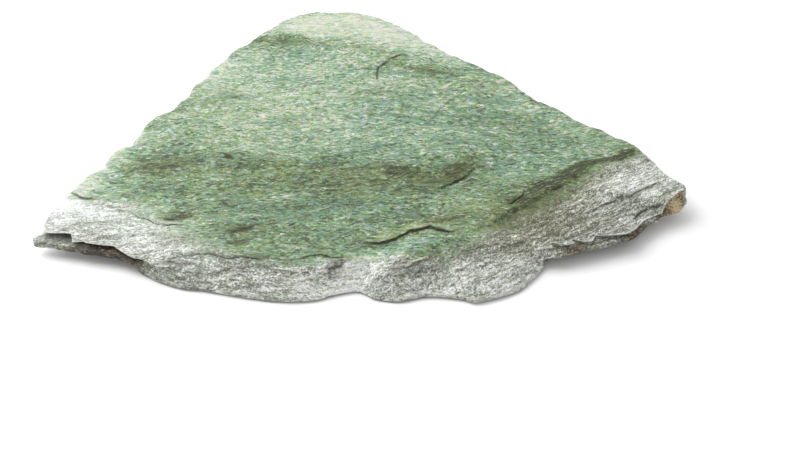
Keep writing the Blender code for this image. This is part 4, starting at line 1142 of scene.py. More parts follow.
@dataclass(frozen=True)
class GreenEdge:
    """Where the top face's green ends around the crest, with what the right and the left end change."""

    right_starts: tuple[float, float] = (0.01, 0.07)
    right_reach: float = 0.0040
    right_stops: tuple[float, float] = (0.185, 0.150)
    left_starts_x: tuple[float, float] = (0.00, -0.10)
    left_starts_y: tuple[float, float] = (-0.040, -0.075)
    level: float = 0.65
    left_drop: float = 0.15
    softness: float = 0.0040
    left_softness: float = 0.0150
    right_softness: float = 0.0120
    drift: float = 0.0036

    def greenness(self, x: Array, y: Array, inside: Array, slant: Array) -> Array:
        """How green the stone is.

        Args:
            x: The points' X.
            y: The points' Y.
            inside: How far each is inside the crest, along its ray.
            slant: The length of the ray's stretch that crosses a band of unit width.

        Returns:
            A smooth step across the crest, from 0 outside it to 1 inside, wider at the left end and on the
            right. On the right it sets in a little further out, and noise makes it drift.
        """
        right = ramp(x, *self.right_starts)
        inside = inside + self.right_reach * right * ramp(x, *self.right_stops) * slant
        left = ramp(x, *self.left_starts_x) * ramp(y, *self.left_starts_y)
        softness = self.softness + self.left_softness * left + self.right_softness * right
        drift = self.drift * rough_noise(x / 0.020, y / 0.010, 131, 2)
        return smooth_step(self.level - self.left_drop * left + (inside / slant + drift) / (2 * softness))


@dataclass(frozen=True)
class Crease:
    """The dark band inside the crest at the right-hand end, front side only: painted shade and olive strands.
    """

    inset: float = 0.0054
    half_width: float = 0.0080
    sway: float = 0.0024
    strength: float = 1.15
    change: float = 0.50
    most: float = 1.4
    starts_x: tuple[float, float] = (0.070, 0.115)
    starts_y: tuple[float, float] = (-0.014, -0.026)

    def strength_at(self, x: Array, y: Array, inside: Array) -> Array:
        """How strong the band is at points.

        Args:
            x: The points' X.
            y: The points' Y.
            inside: How far each is inside the crest.

        Returns:
            A bell curve around the inset, whose middle sways and whose strength comes and goes.
        """
        wave = self.sway * rough_noise(x / 0.014, y / 0.010, 83, 3)
        band = np.exp(-(((inside - self.inset - wave) / self.half_width) ** 2))
        strength = self.strength + self.change * rough_noise(x / 0.012, y / 0.005, 89, 2)
        return np.clip(strength, 0, self.most) * band * ramp(x, *self.starts_x) * ramp(y, *self.starts_y)


@dataclass
class Slab:
    """The stone: its surface, worked out part by part, and the mesh made from it."""

    outline: Outline = field(default_factory=Outline)
    top: TopFace = field(default_factory=TopFace)
    edge: BrokenEdge = field(default_factory=BrokenEdge)
    grid: StoneGrid = field(default_factory=StoneGrid)
    green_edge: GreenEdge = field(default_factory=GreenEdge)
    crease: Crease = field(default_factory=Crease)
    crowding: float = 0.30
    magnet_reach: float = 0.0042
    magnet_power: float = 2.1
    wander: float = 0.0008
    front_shade: float = 0.13
    crease_tone: float = 0.05
    rim_lift: float = 0.5
    rim_band: tuple[float, float] = (0.975, 1.0)
    break_run: float = 0.004
    pit_depth: float = 0.0012
    pit_shade: float = 0.6
    foot_gap: float = 0.0020
    sharp_angle: float = 48.0

    def __post_init__(self) -> None:
        """Work out the stations around the rim, and the ring values that the surfaces share."""
        self.ring = self.outline.stations(self.grid.around, self.edge)
        self.crest_z = self.top.form(*self.outline.plan(self.ring.angle, self.ring.crest))

    def fibre_of(self, x: Array, y: Array, z: Array) -> Array:
        """Places along and across the grey break's fibres, and down through its layers.

        The fibres run along X on the left. To the right of the middle they lean, so that across is Y less
        a slope that sets in there.
        """
        rise = 0.022 * np.log1p(np.exp((x - 0.014) / 0.022))
        return np.column_stack([x + 0.4 * rise, y - 0.60 * rise, z])

    def beside(self, line: Line, x: Array, y: Array) -> Beside:
        """How points lie to a line that wanders by up to the wander on its way."""
        away_x = self.wander * rough_noise(x / 0.0060, y / 0.0060, 103, 2)
        away_y = self.wander * rough_noise(x / 0.0060, y / 0.0060, 109, 2)
        return line.beside(x + away_x, y + away_y)

    def ledge_lift(self, x: Array, y: Array) -> Array:
        """How far the ledges move the face.

        Args:
            x: The points' X.
            y: The points' Y.

        Returns:
            The sum of the ledges' lifts, whose swell comes and goes along the line.
        """
        lift = np.zeros(np.shape(x))
        for ledge in LEDGES:
            place = self.beside(ledge.line, x, y)
            change = 0.75 + 0.5 * noise(x / 0.005, y / 0.005, 127) * (1 - place.right)
            lift = lift + ledge.lift(place) * change
        return lift

    def seam_field(self, x: Array, y: Array) -> tuple[Array, Array]:
        """How points lie to the seams.

        Args:
            x: The points' X.
            y: The points' Y.

        Returns:
            The distance across the nearest seam in its half widths, below 0 on its right, and that seam's
            strength, which fades out away from it and towards its ends.
        """
        nearest = np.full(np.shape(x), np.inf)
        across, strength = np.zeros(np.shape(x)), np.zeros(np.shape(x))
        for seam in SEAMS:
            place = self.beside(seam.line, x, y)
            nearer = place.distance < nearest
            nearest = np.where(nearer, place.distance, nearest)
            across = np.where(nearer, place.distance / seam.width * (1 - 2 * place.right), across)
            ends = smooth_step(np.minimum(place.along, 1 - place.along) / 0.15)
            held = seam.strength * ends * (1 - ramp(place.distance, 0.0022, 0.0036))
            strength = np.where(nearer, held, strength)
        return np.clip(across, -9, 9), strength

    def drawn_to_ledges(self, x: Array, y: Array, free: Array) -> tuple[Array, Array]:
        """Crowd points around the ledges' lines, so that a ledge is crisp.

        Args:
            x: The points' X.
            y: The points' Y.
            free: How free each point is to move, from 0 to 1.

        Returns:
            The moved points: a distance from a line, as a share of the magnets' reach, is raised to a power.
        """
        for ledge in LEDGES:
            place = self.beside(ledge.line, x, y)
            share = np.clip(place.distance / self.magnet_reach, 1e-6, 1.0)
            held = free * ledge.ends(place.along)
            move = (share ** (self.magnet_power - 1.0) - 1.0) * held
            x, y = x + place.away_x * move, y + place.away_y * move
        return x, y

    def on_ring(self, radius: Array, place: Array) -> tuple[Array, Array]:
        """The X and Y of a ring, given by its radius, at places counted in its points from the left tip."""
        steps = np.arange(self.grid.around + 1)
        ring = self.outline.plan(self.ring.angle, radius)
        return tuple(np.interp(place, steps, np.append(edge, edge[0])) for edge in ring)

    def upper_surface(self) -> Surface:
        """The upper surface.

        Returns:
            A grid's points on rays from the centre out to the lip, closer together near the lip and the
            ledges. A point's way out is its share s of the grid, crowded as s(1 + c) - cs squared.
        """
        share, place = self.grid.shares(self.grid.cells_x, self.grid.cells_y)
        share, place = share.ravel(), place.ravel()
        ray_x, ray_y = self.on_ring(self.ring.lip, place)
        out = share * (1 + self.crowding) - self.crowding * share**2
        x = self.outline.centre[0] + out * (ray_x - self.outline.centre[0])
        y = self.outline.centre[1] + out * (ray_y - self.outline.centre[1])
        x, y = self.drawn_to_ledges(x, y, 1 - ramp(share, 0.93, 0.99))
        return self.upper_points(x, y, share)

    def upper_points(self, x: Array, y: Array, share: Array) -> Surface:
        """The height and finish of the upper surface's points.

        Args:
            x: The points' X.
            y: The points' Y.
            share: How far out each is in the grid, 1 on the lip.

        Returns:
            The surface: the top face inside the crest, and outside it a riser and a slope down to the lip,
            with a crown of four times the bulge times the shares of the way down and of the way left.
        """
        angle, radius = self.outline.polar(x, y)
        here = self.ring.at(angle)
        section = here.section
        way = np.clip((radius - here.crest) / np.maximum(here.lip - here.crest, 1e-5), 0.0, 1.0)
        way = np.where(share > 1 - 1e-9, 1.0, way)
        outside = (way > 0) * 1.0
        crest_z = self.ring_value(self.crest_z, angle)
        fallen = np.clip((radius - here.crest) / self.edge.riser_run, 0.0, 1.0)
        start_z = crest_z - section.riser * smooth_step(fallen)
        slope_z = start_z + way * (section.lip_z - start_z) + 4 * way * (1 - way) * section.bulge
        z = np.where(way > 0, slope_z, self.top.form(x, y))
        run = np.maximum(here.lip - here.crest, 1e-4)
        fall = np.maximum(crest_z - section.lip_z, 1e-4)
        steep = np.hypot(run / here.slant, fall)
        down = way * steep
        fade = np.minimum(1.0, self.edge.scallop_row_gap / (0.25 * steep)) ** 2
        bowls = section.scallop * self.edge.bowls(x, y, z)
        bowls = bowls * smooth_step(down / self.edge.scallop_start) * fade
        green = self.green_edge.greenness(x, y, here.crest - radius, here.slant)
        grain = self.fibre_of(x, y, z)
        top_relief = self.top.relief(x, y)
        layers = self.edge.layers(here.along, z) * smooth_step(1.6 * fall / steep)
        layers = layers * self.edge.seam(here.along)
        grit = self.edge.grit(grain[:, 0], grain[:, 1] + z)
        on_break = smooth_step(down / self.break_run) * outside
        relief = top_relief * (1 - 0.5 * on_break) + (layers * section.layered + grit) * on_break
        lift = self.ledge_lift(x, y)
        near_rim = ramp(share, *self.rim_band)
        free = 1 - 0.5 * near_rim
        held = 1 - (1 - self.rim_lift) * near_rim
        z = z + outside * bowls * (1 - way**6) + relief * free + lift * (1 - 0.2 * outside) * held
        # Worn rims, partly a painted highlight along the lip and the back edges.
        pale = self.edge_pale(here.lip - radius, here.crest - radius, here, y)
        # Painted shade in the pits.
        dark = self.pit_shade * spotted(PITS, x, y) / self.pit_depth
        # The crease: painted shade along the crest's step and the broad step, with dark olive strands. It
        # darkens the tone too.
        crease = self.crease.strength_at(x, y, (here.crest - radius) / here.slant)
        crease = crease + spotted(SHADE_SPOTS, *self.torn(x, y))
        tone = self.tone(x, y, green) - self.crease_tone * crease
        hue = spotted(HUE_SPOTS, x, y) + crease
        return Surface(
            np.column_stack([x, y, z]), self.fibre_of(x, y, z), green, tone, hue, np.clip(dark, 0, 1), pale,
            np.clip(spotted(RUST_SPOTS, x, y), 0, 1), crease, *self.seam_field(x, y),
        )

    def tone(self, x: Array, y: Array, green: Array) -> Array:
        """How light the upper surface is: the spots, partly painted light and shade, less a shade on the
        green in front of the step.
        """
        front = ramp(y + 0.005 * rough_noise(x / 0.030, y / 0.012, 149, 2), -0.024, -0.040)
        return spotted(TONE_AND_LIGHT_SPOTS, *self.torn(x, y)) - self.front_shade * front * green

    def torn(self, x: Array, y: Array) -> tuple[Array, Array]:
        """The plan's points moved by a few millimetres, which makes the edges of the spots ragged."""
        moved_x = x + 0.0042 * rough_noise(x / 0.0080, y / 0.0030, 157, 3)
        return moved_x, y + 0.0026 * rough_noise(x / 0.0080, y / 0.0030, 163, 3)

    def ring_value(self, values: Array, angle: Array) -> Array:
        """A ring's values read at other angles."""
        turned = (self.ring.angle - self.ring.angle[0]) % TURN
        return np.interp((angle - self.ring.angle[0]) % TURN, turned, values)

    def edge_pale(self, from_lip: Array, inside: Array, here: Stations, y: Array) -> Array:
        """How pale the worn rims are, with a painted highlight along them.

        Args:
            from_lip: How far each point is in from the lip, along its ray.
            inside: How far it is inside the crest.
            here: The stations at the points.
            y: The points' Y.

        Returns:
            Two narrow bell curves: one at a layered lip, and one at the crest along the back edges.
        """
        layered = ramp(here.section.layered, 0.20, 0.60)
        lip = 0.8 * layered * np.exp(-((from_lip / here.slant / 0.0010) ** 2))
        back = ramp(here.section.layered, 0.85, 1.0) * np.exp(-((inside / here.slant / 0.0012) ** 2))
        return np.clip(lip + 0.5 * back * ramp(y, -0.05, -0.03), 0, 1)

    def edge_knots(self) -> list[tuple[int, Array, Array]]:
        """The corners of the broken edge's sections from the lip down, each at every station.

        Returns:
            For each, the layer that it belongs to, its radius and its height. The lip's own lower edge is
            the lip edge's height below it, where the stone is layered.
        """
        ring, section = self.ring, self.ring.section
        inset = section._asdict()

        def corner(name: str) -> tuple[Array, Array]:
            return ring.radius - inset[name + "_in"] * ring.slant, inset[name + "_z"]

        lip, split, tongue, body = (corner(name) for name in ("lip", "split", "tongue", "body"))
        edge = np.maximum(self.edge.lip_edge * section.layered, self.edge.least_lip_edge)
        lip_under = lip[0] + 0.10 * (1 - section.layered) * (split[0] - lip[0])
        corners = [
            (0, *lip), (0, lip_under, lip[1] - edge),
            (1, *split), (1, *tongue), (1, *body),
            (2, np.minimum(ring.base - self.edge.base_step, body[0]), section.body_z - 0.0006),
            (2, ring.base - self.edge.base_step, section.edge_z + 0.0006),
            (2, ring.base, section.edge_z - 0.0014),
        ]
        foot = (2, ring.base - section.foot_in, np.zeros_like(ring.base))
        knots = []
        for number, (layer, r, z) in enumerate(corners):
            out = self.edge.ragged(ring, max(number - 1, 0), layer, *self.outline.plan(ring.angle, r), z)
            knots.append((layer, r + ring.slant * out, z))
        return [*knots, foot]

    def broken_edge(self) -> list[Surface]:
        """The broken edge.

        Returns:
            Its rows, from the one next to the lip down to the resting face's ring. Each pair of the
            section's corners has a number of rows between them, at equal steps.
        """
        knots = self.edge_knots()
        rows = []
        spans = zip(self.edge.row_counts, knots[:-1], knots[1:], strict=True)
        for number, (steps, start, end) in enumerate(spans):
            for step in range(1, steps + 1):
                share = step / steps
                r, z = (start[k] + share * (end[k] - start[k]) for k in (1, 2))
                rows.append((number, share, r, z))
        return [self.edge_row(*row) for row in rows]

    def edge_row(self, span: int, share: float, radius: Array, z: Array) -> Surface:
        """One row of the broken edge, with its fine relief and finish.

        Args:
            span: The number of the span of the section that the row is in.
            share: How far down that span it is.
            radius: Its radius at each station.
            z: Its height at each station.

        Returns:
            The row, moved out by the layers and the grit, along its rays and, where the break goes on below
            the lip, upwards too.
        """
        ring = self.ring
        together = 1 - ring.section.layered
        x, y = self.outline.plan(ring.angle, radius)
        grain = self.fibre_of(x, y, z)
        free = smooth_step(z / 0.0014)
        grit = self.edge.grit(grain[:, 0], grain[:, 1] + z)
        layers = self.edge.layers(ring.along, z) * self.edge.seam(ring.along)
        layers = layers * (0.25 + 0.75 * ring.section.layered)
        shift = self.edge.relief_share * (layers + grit) * free
        radius = np.minimum(radius + ring.slant * shift, ring.radius - 0.0001)
        height = z + 0.5 * shift * together * smooth_step(z / 0.006)
        x, y = self.outline.plan(ring.angle, radius)
        height = height + self.rim_lift * self.ledge_lift(x, y) * together * smooth_step(z / 0.010)
        depth = (ring.radius - radius) / ring.slant
        # Painted shade: darker where the break lies deeper in from the rim, and low down where its layers
        # broke as one.
        recess_shade = ramp(depth, *self.edge.sunk_depth) * ring.section.layered * (1.0 if span < 3 else 0.6)
        recess_shade = np.maximum(recess_shade, 0.5 * together * ramp(z, 0.0026, 0.0012))
        # The lip's pale edge and a pale streak along the front's lower edge: partly worn, partly a painted
        # highlight.
        pale = 0.8 * ring.section.layered * (span == 0) * (1 - share)
        broken = ramp(noise(ring.along / 0.006, np.zeros_like(z), 139) + 0.8 * ramp(x, 0.06, 0.09), -0.5, 0.5)
        streak = np.exp(-(((z - self.edge.pale_height) / self.edge.pale_half) ** 2))
        pale = pale + together * broken * streak * (span >= 4)
        blank = np.zeros_like(z)
        weathered = 0.30 * ring.section.layered * (1 <= span <= 3) + spotted(UNDER_SPOTS, x, y) * (span >= 1)
        rust = np.clip(spotted(RUST_SPOTS, x, y) + weathered, 0, 1)
        # The break's tone: the spots, with the painted light and shade below the lip.
        tone = spotted(TONE_AND_LIGHT_SPOTS, x, y) + spotted(UNDER_LIGHT_AND_SHADE, x, y)
        across, strength = self.seam_field(x, y)
        return Surface(
            np.column_stack([x, y, height]), grain, blank, tone, spotted(HUE_SPOTS, x, y), recess_shade, pale, rust,
            blank, across, strength * together,
        )

    def resting_face(self) -> Surface:
        """The resting face.

        Returns:
            The points of a coarse grid inside the foot's ring, level but for shallow dents upwards, which
            fade out towards the ring.
        """
        share, place = self.grid.shares(*self.grid.coarse_cells)
        share, place = share.ravel(), place.ravel() * self.grid.coarsening
        _, foot, _ = self.edge_knots()[-1]
        ray_x, ray_y = self.on_ring(foot - self.foot_gap, place)
        x = self.outline.centre[0] + share * (ray_x - self.outline.centre[0])
        y = self.outline.centre[1] + share * (ray_y - self.outline.centre[1])
        dents = np.maximum(noise(x / 0.050, y / 0.028, 91) - 0.1, 0) * 0.0016
        dents = dents + np.maximum(noise(x / 0.012, y / 0.008, 97), 0) * 0.0005
        z = dents * (1 - ramp(share, 0.80, 1.0))
        blank = np.zeros_like(z)
        grain = np.column_stack([x, y, z])
        # A faint painted shade on the resting face.
        return Surface(grain, grain, blank, blank, blank, blank + 0.15, blank, blank, blank, blank, blank)

    def faces(self, rows: int, first_of_row: Callable[[int], int], first_below: int) -> list[Array]:
        """The faces of all three parts.

        Args:
            rows: How many rows the broken edge has.
            first_of_row: The number of a row's first point.
            first_below: The number of the resting face's first point.

        Returns:
            Arrays of the faces' point numbers: the upper grid, a band between each ring and the next, a fan
            of triangles inside the last ring, and the resting face's grid, which faces down.
        """
        grid = self.grid
        upper = np.arange((grid.cells_x + 1) * (grid.cells_y + 1)).reshape(grid.cells_x + 1, grid.cells_y + 1)
        rings = [grid.border(grid.cells_x, grid.cells_y)]
        rings += [first_of_row(row) + np.arange(grid.around) for row in range(rows)]
        bands = [grid.band_faces(above, below) for above, below in zip(rings, rings[1:], strict=False)]
        cells_x, cells_y = grid.coarse_cells
        below = first_below + np.arange((cells_x + 1) * (cells_y + 1)).reshape(cells_x + 1, cells_y + 1)
        coarse = first_below + grid.border(cells_x, cells_y)
        resting = grid.grid_faces(below)[:, ::-1]
        return [grid.grid_faces(upper), *bands, grid.fan_faces(rings[-1], coarse), resting]

    def build(self, name: str) -> bpy.types.Object:
        """The stone as one closed mesh.

        Args:
            name: The object's name.

        Returns:
            The object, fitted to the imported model's box, with its finish's values as point attributes and
            its edges sharp from the sharp angle on.
        """
        upper = self.upper_surface()
        rows = self.broken_edge()
        below = self.resting_face()
        surface = Surface.joined([upper, *rows, below])
        count = len(upper.place)
        around = self.grid.around
        parts = self.faces(len(rows), lambda row: count + row * around, count + len(rows) * around)
        place = fitted_to_box(surface.place, CAD_BOX)
        mesh = bpy.data.meshes.new(name)
        mesh.from_pydata(place.tolist(), [], [face for part in parts for face in part.tolist()])
        mesh.shade_smooth()
        mesh.set_sharp_from_angle(angle=math.radians(self.sharp_angle))
        for label in ("green", "tone", "hue", "dark", "pale", "rust", "crease", "seam", "crack"):
            attribute = mesh.attributes.new(label, "FLOAT", "POINT")
            attribute.data.foreach_set("value", getattr(surface, label).astype(np.float32))
        attribute = mesh.attributes.new("fibre", "FLOAT_VECTOR", "POINT")
        attribute.data.foreach_set("vector", surface.fibre.astype(np.float32).ravel())
        stone = bpy.data.objects.new(name, mesh)
        bpy.context.scene.collection.objects.link(stone)
        mesh.calc_loop_triangles()
        log.info("%s: %d points, %d triangles", name, len(mesh.vertices), len(mesh.loop_triangles))
        return stone


def fitted_to_box(place: Array, box: Sequence[Sequence[float]]) -> Array:
    """The points, stretched a little along each axis so that they just fill the box."""
    low, high = place.min(axis=0), place.max(axis=0)
    box_low, box_high = np.array(box[0]), np.array(box[1])
    return box_low + (place - low) * (box_high - box_low) / (high - low)


Tone = tuple[float, float, float]

# How bright a white level face is under the studio's light, where 1 is just white.
LIGHT_GAIN = 1.95


def seen(red: float, green: float, blue: float) -> Tone:
    """A colour as it should look on a level face, as the light that the stone returns.

    Args:
        red: From 0 to 255, or more for a stop that is brighter than white.
        green: The same.
        blue: The same.

    Returns:
        The linear colour, from the sRGB curve, divided by the scene's light on a level face.
    """
    shares = [value / 255 for value in (red, green, blue)]
    linear = [s / 12.92 if s <= 0.04045 else ((s + 0.055) / 1.055) ** 2.4 for s in shares]
    return tuple(value / LIGHT_GAIN for value in linear)


class Op(Enum):
    """The Math node's operations that the materials use."""

    ADD = "ADD"
    SUBTRACT = "SUBTRACT"
    MULTIPLY = "MULTIPLY"
    MAXIMUM = "MAXIMUM"


class Tree:
    """A material's node tree, with one method that makes any node."""

    def __init__(self, material: bpy.types.Material) -> None:
        """Start from an empty tree."""
        material.use_nodes = True
        self.tree = material.node_tree
        self.tree.nodes.clear()

    def node(self, kind: str, settings: dict | None = None, **inputs: object) -> "Sock":
        """Add a node.

        Args:
            kind: The node's type.
            settings: Its own settings, by name. A list of stops, as (place, colour), fills its ramp.
            **inputs: Values or links of its sockets, where i0 is the first socket and a name is a name with
                underscores for spaces.

        Returns:
            The node's first output.
        """
        node = self.tree.nodes.new(kind)
        for name, value in (settings or {}).items():
            if name == "stops":
                self.fill_ramp(node.color_ramp, value)
            else:
                setattr(node, name, value)
        for name, value in inputs.items():
            numbered = name[0] == "i" and name[1:].isdigit()
            socket = node.inputs[int(name[1:])] if numbered else node.inputs[name.replace("_", " ")]
            if isinstance(value, Sock):
                self.tree.links.new(value.socket, socket)
            else:
                socket.default_value = value
        return Sock(self, node.outputs[0])

    def finish(self, shader: "Sock") -> None:
        """Link a shader to the material's output."""
        output = self.tree.nodes.new("ShaderNodeOutputMaterial")
        self.tree.links.new(shader.socket, output.inputs["Surface"])

    @staticmethod
    def fill_ramp(color_ramp: bpy.types.ColorRamp, stops: Sequence[tuple[float, Tone]]) -> None:
        """Give a colour ramp its stops."""
        while len(color_ramp.elements) < len(stops):
            color_ramp.elements.new(0.5)
        for element, (place, colour) in zip(color_ramp.elements, stops, strict=True):
            element.position = place
            element.color = (*colour, 1.0)

    def attribute(self, name: str) -> "Sock":
        """A point attribute's value."""
        found = self.node("ShaderNodeAttribute", {"attribute_name": name})
        return Sock(self, found.socket.node.outputs["Fac"])

    def attribute_vector(self, name: str) -> "Sock":
        """A point attribute's vector."""
        found = self.node("ShaderNodeAttribute", {"attribute_name": name})
        return Sock(self, found.socket.node.outputs["Vector"])

    def object_place(self) -> "Sock":
        """The place in the object's own coordinates."""
        found = self.node("ShaderNodeTexCoord")
        return Sock(self, found.socket.node.outputs["Object"])

    def bent(self, vector: "Sock", length: float, bend: float) -> "Sock":
        """A place that wanders.

        Args:
            vector: The place.
            length: The waves' length.
            bend: How far they reach.

        Returns:
            The place plus, along its second direction, a smooth noise times the bend.
        """
        wave = self.node("ShaderNodeTexNoise", Vector=vector, Scale=1.0 / length, Detail=1.0)
        return self.node(
            "ShaderNodeVectorMath", {"operation": "MULTIPLY_ADD"}, i0=wave, i1=(0.0, bend, 0.0), i2=vector
        )

    def scaled(self, vector: "Sock", lengths: tuple[float, float, float]) -> "Sock":
        """A vector measured in these lengths, one for each of its directions."""
        per_length = tuple(1 / length for length in lengths)
        return self.node("ShaderNodeVectorMath", {"operation": "MULTIPLY"}, i0=vector, i1=per_length)

    def noise(self, vector: "Sock", detail: float = 2.0, roughness: float = 0.5) -> "Sock":
        """Smooth noise.

        Args:
            vector: The place, in lumps.
            detail: How many finer noises are added.
            roughness: How strong each is, as a share of the one before.

        Returns:
            The noise less its mean, stretched so that it lies mostly between -1 and 1.
        """
        found = self.node(
            "ShaderNodeTexNoise", {"noise_dimensions": "3D"}, Vector=vector, Scale=1.0, Detail=detail,
            Roughness=roughness,
        )
        return (found - 0.5) * 2.6

    def along(self, vector: "Sock") -> "Sock":
        """A vector's first part."""
        return self.node("ShaderNodeSeparateXYZ", i0=vector)

    def cells(self, vector: "Sock") -> tuple["Sock", "Sock", "Sock"]:
        """Random numbers of a field of cells.

        Args:
            vector: The place, in cells.

        Returns:
            Three numbers from 0 to 1 that are the same all over a cell.
        """
        found = self.node("ShaderNodeTexVoronoi", {"feature": "F1"}, Vector=vector, Scale=1.0)
        colour = Sock(self, found.socket.node.outputs["Color"])
        parts = self.node("ShaderNodeSeparateColor", i0=colour)
        return tuple(Sock(self, parts.socket.node.outputs[k]) for k in range(3))

    def colour_ramp(self, share: "Sock", stops: Sequence[tuple[float, Tone]]) -> "Sock":
        """The colour of a ramp at a share."""
        return self.node("ShaderNodeValToRGB", {"stops": stops}, i0=share)

    def mixed(self, share: "Sock | float", first: "Sock | Tone", second: "Sock | Tone") -> "Sock":
        """One colour at share 0 and another at share 1."""
        ends = [value if isinstance(value, Sock) else (*value, 1.0) for value in (first, second)]
        mix = self.node("ShaderNodeMix", {"data_type": "RGBA"}, i0=share, i6=ends[0], i7=ends[1])
        return Sock(self, mix.socket.node.outputs[2])

    def dyed(self, first: "Sock", red: "Sock", blue: "Sock") -> "Sock":
        """A colour whose red and blue are made stronger by these shares."""
        return self.times(first, self.node("ShaderNodeCombineXYZ", X=1.0 + red, Y=1.0, Z=1.0 + blue))

    def times(self, first: "Sock", second: "Sock") -> "Sock":
        """The product of two colours."""
        return self.node("ShaderNodeVectorMath", {"operation": "MULTIPLY"}, i0=first, i1=second)

    def stepped(self, value: "Sock", low: float, high: float) -> "Sock":
        """A smooth step.

        Args:
            value: The value to step.
            low: Where the step starts, at 0.
            high: Where it ends, at 1. It may be below low.

        Returns:
            The cubic 3t^2 - 2t^3 of the share t of the way from low to high.
        """
        return self.node(
            "ShaderNodeMapRange", {"interpolation_type": "SMOOTHSTEP"}, Value=value, i1=low, i2=high,
            i3=0.0, i4=1.0,
        )


@dataclass(frozen=True)
class Sock:
    """A node's output, with the arithmetic that adds Math nodes after it."""

    tree: Tree
    socket: bpy.types.NodeSocket

    def math(self, op: Op, first: "Sock | float", second: "Sock | float") -> "Sock":
        """One Math node."""
        return self.tree.node("ShaderNodeMath", {"operation": op.value}, i0=first, i1=second)

    def __add__(self, other: "Sock | float") -> "Sock":
        """The sum."""
        return self.math(Op.ADD, self, other)

    __radd__ = __add__

    def __sub__(self, other: "Sock | float") -> "Sock":
        """The difference."""
        return self.math(Op.SUBTRACT, self, other)

    def __rsub__(self, other: float) -> "Sock":
        """The difference the other way round."""
        return self.math(Op.SUBTRACT, other, self)

    def __mul__(self, other: "Sock | float") -> "Sock":
        """The product."""
        return self.math(Op.MULTIPLY, self, other)

    __rmul__ = __mul__

    def above(self, other: "Sock | float") -> "Sock":
        """The larger of the two."""
        return self.math(Op.MAXIMUM, self, other)


class FaceNoise(NamedTuple):
    """The green face's noises, from the longest to the finest, and two random numbers of its small grains."""

    patches: Sock
    streaks: Sock
    threads: Sock
    grit: Sock
    small: Sock
    flake: Sock


class BreakNoise(NamedTuple):
    """The grey break's finer noises, and a random number for each of its coarse and its sugary grains."""

    fibres: Sock
    strands: Sock
    coarse: Sock
    sugar: Sock


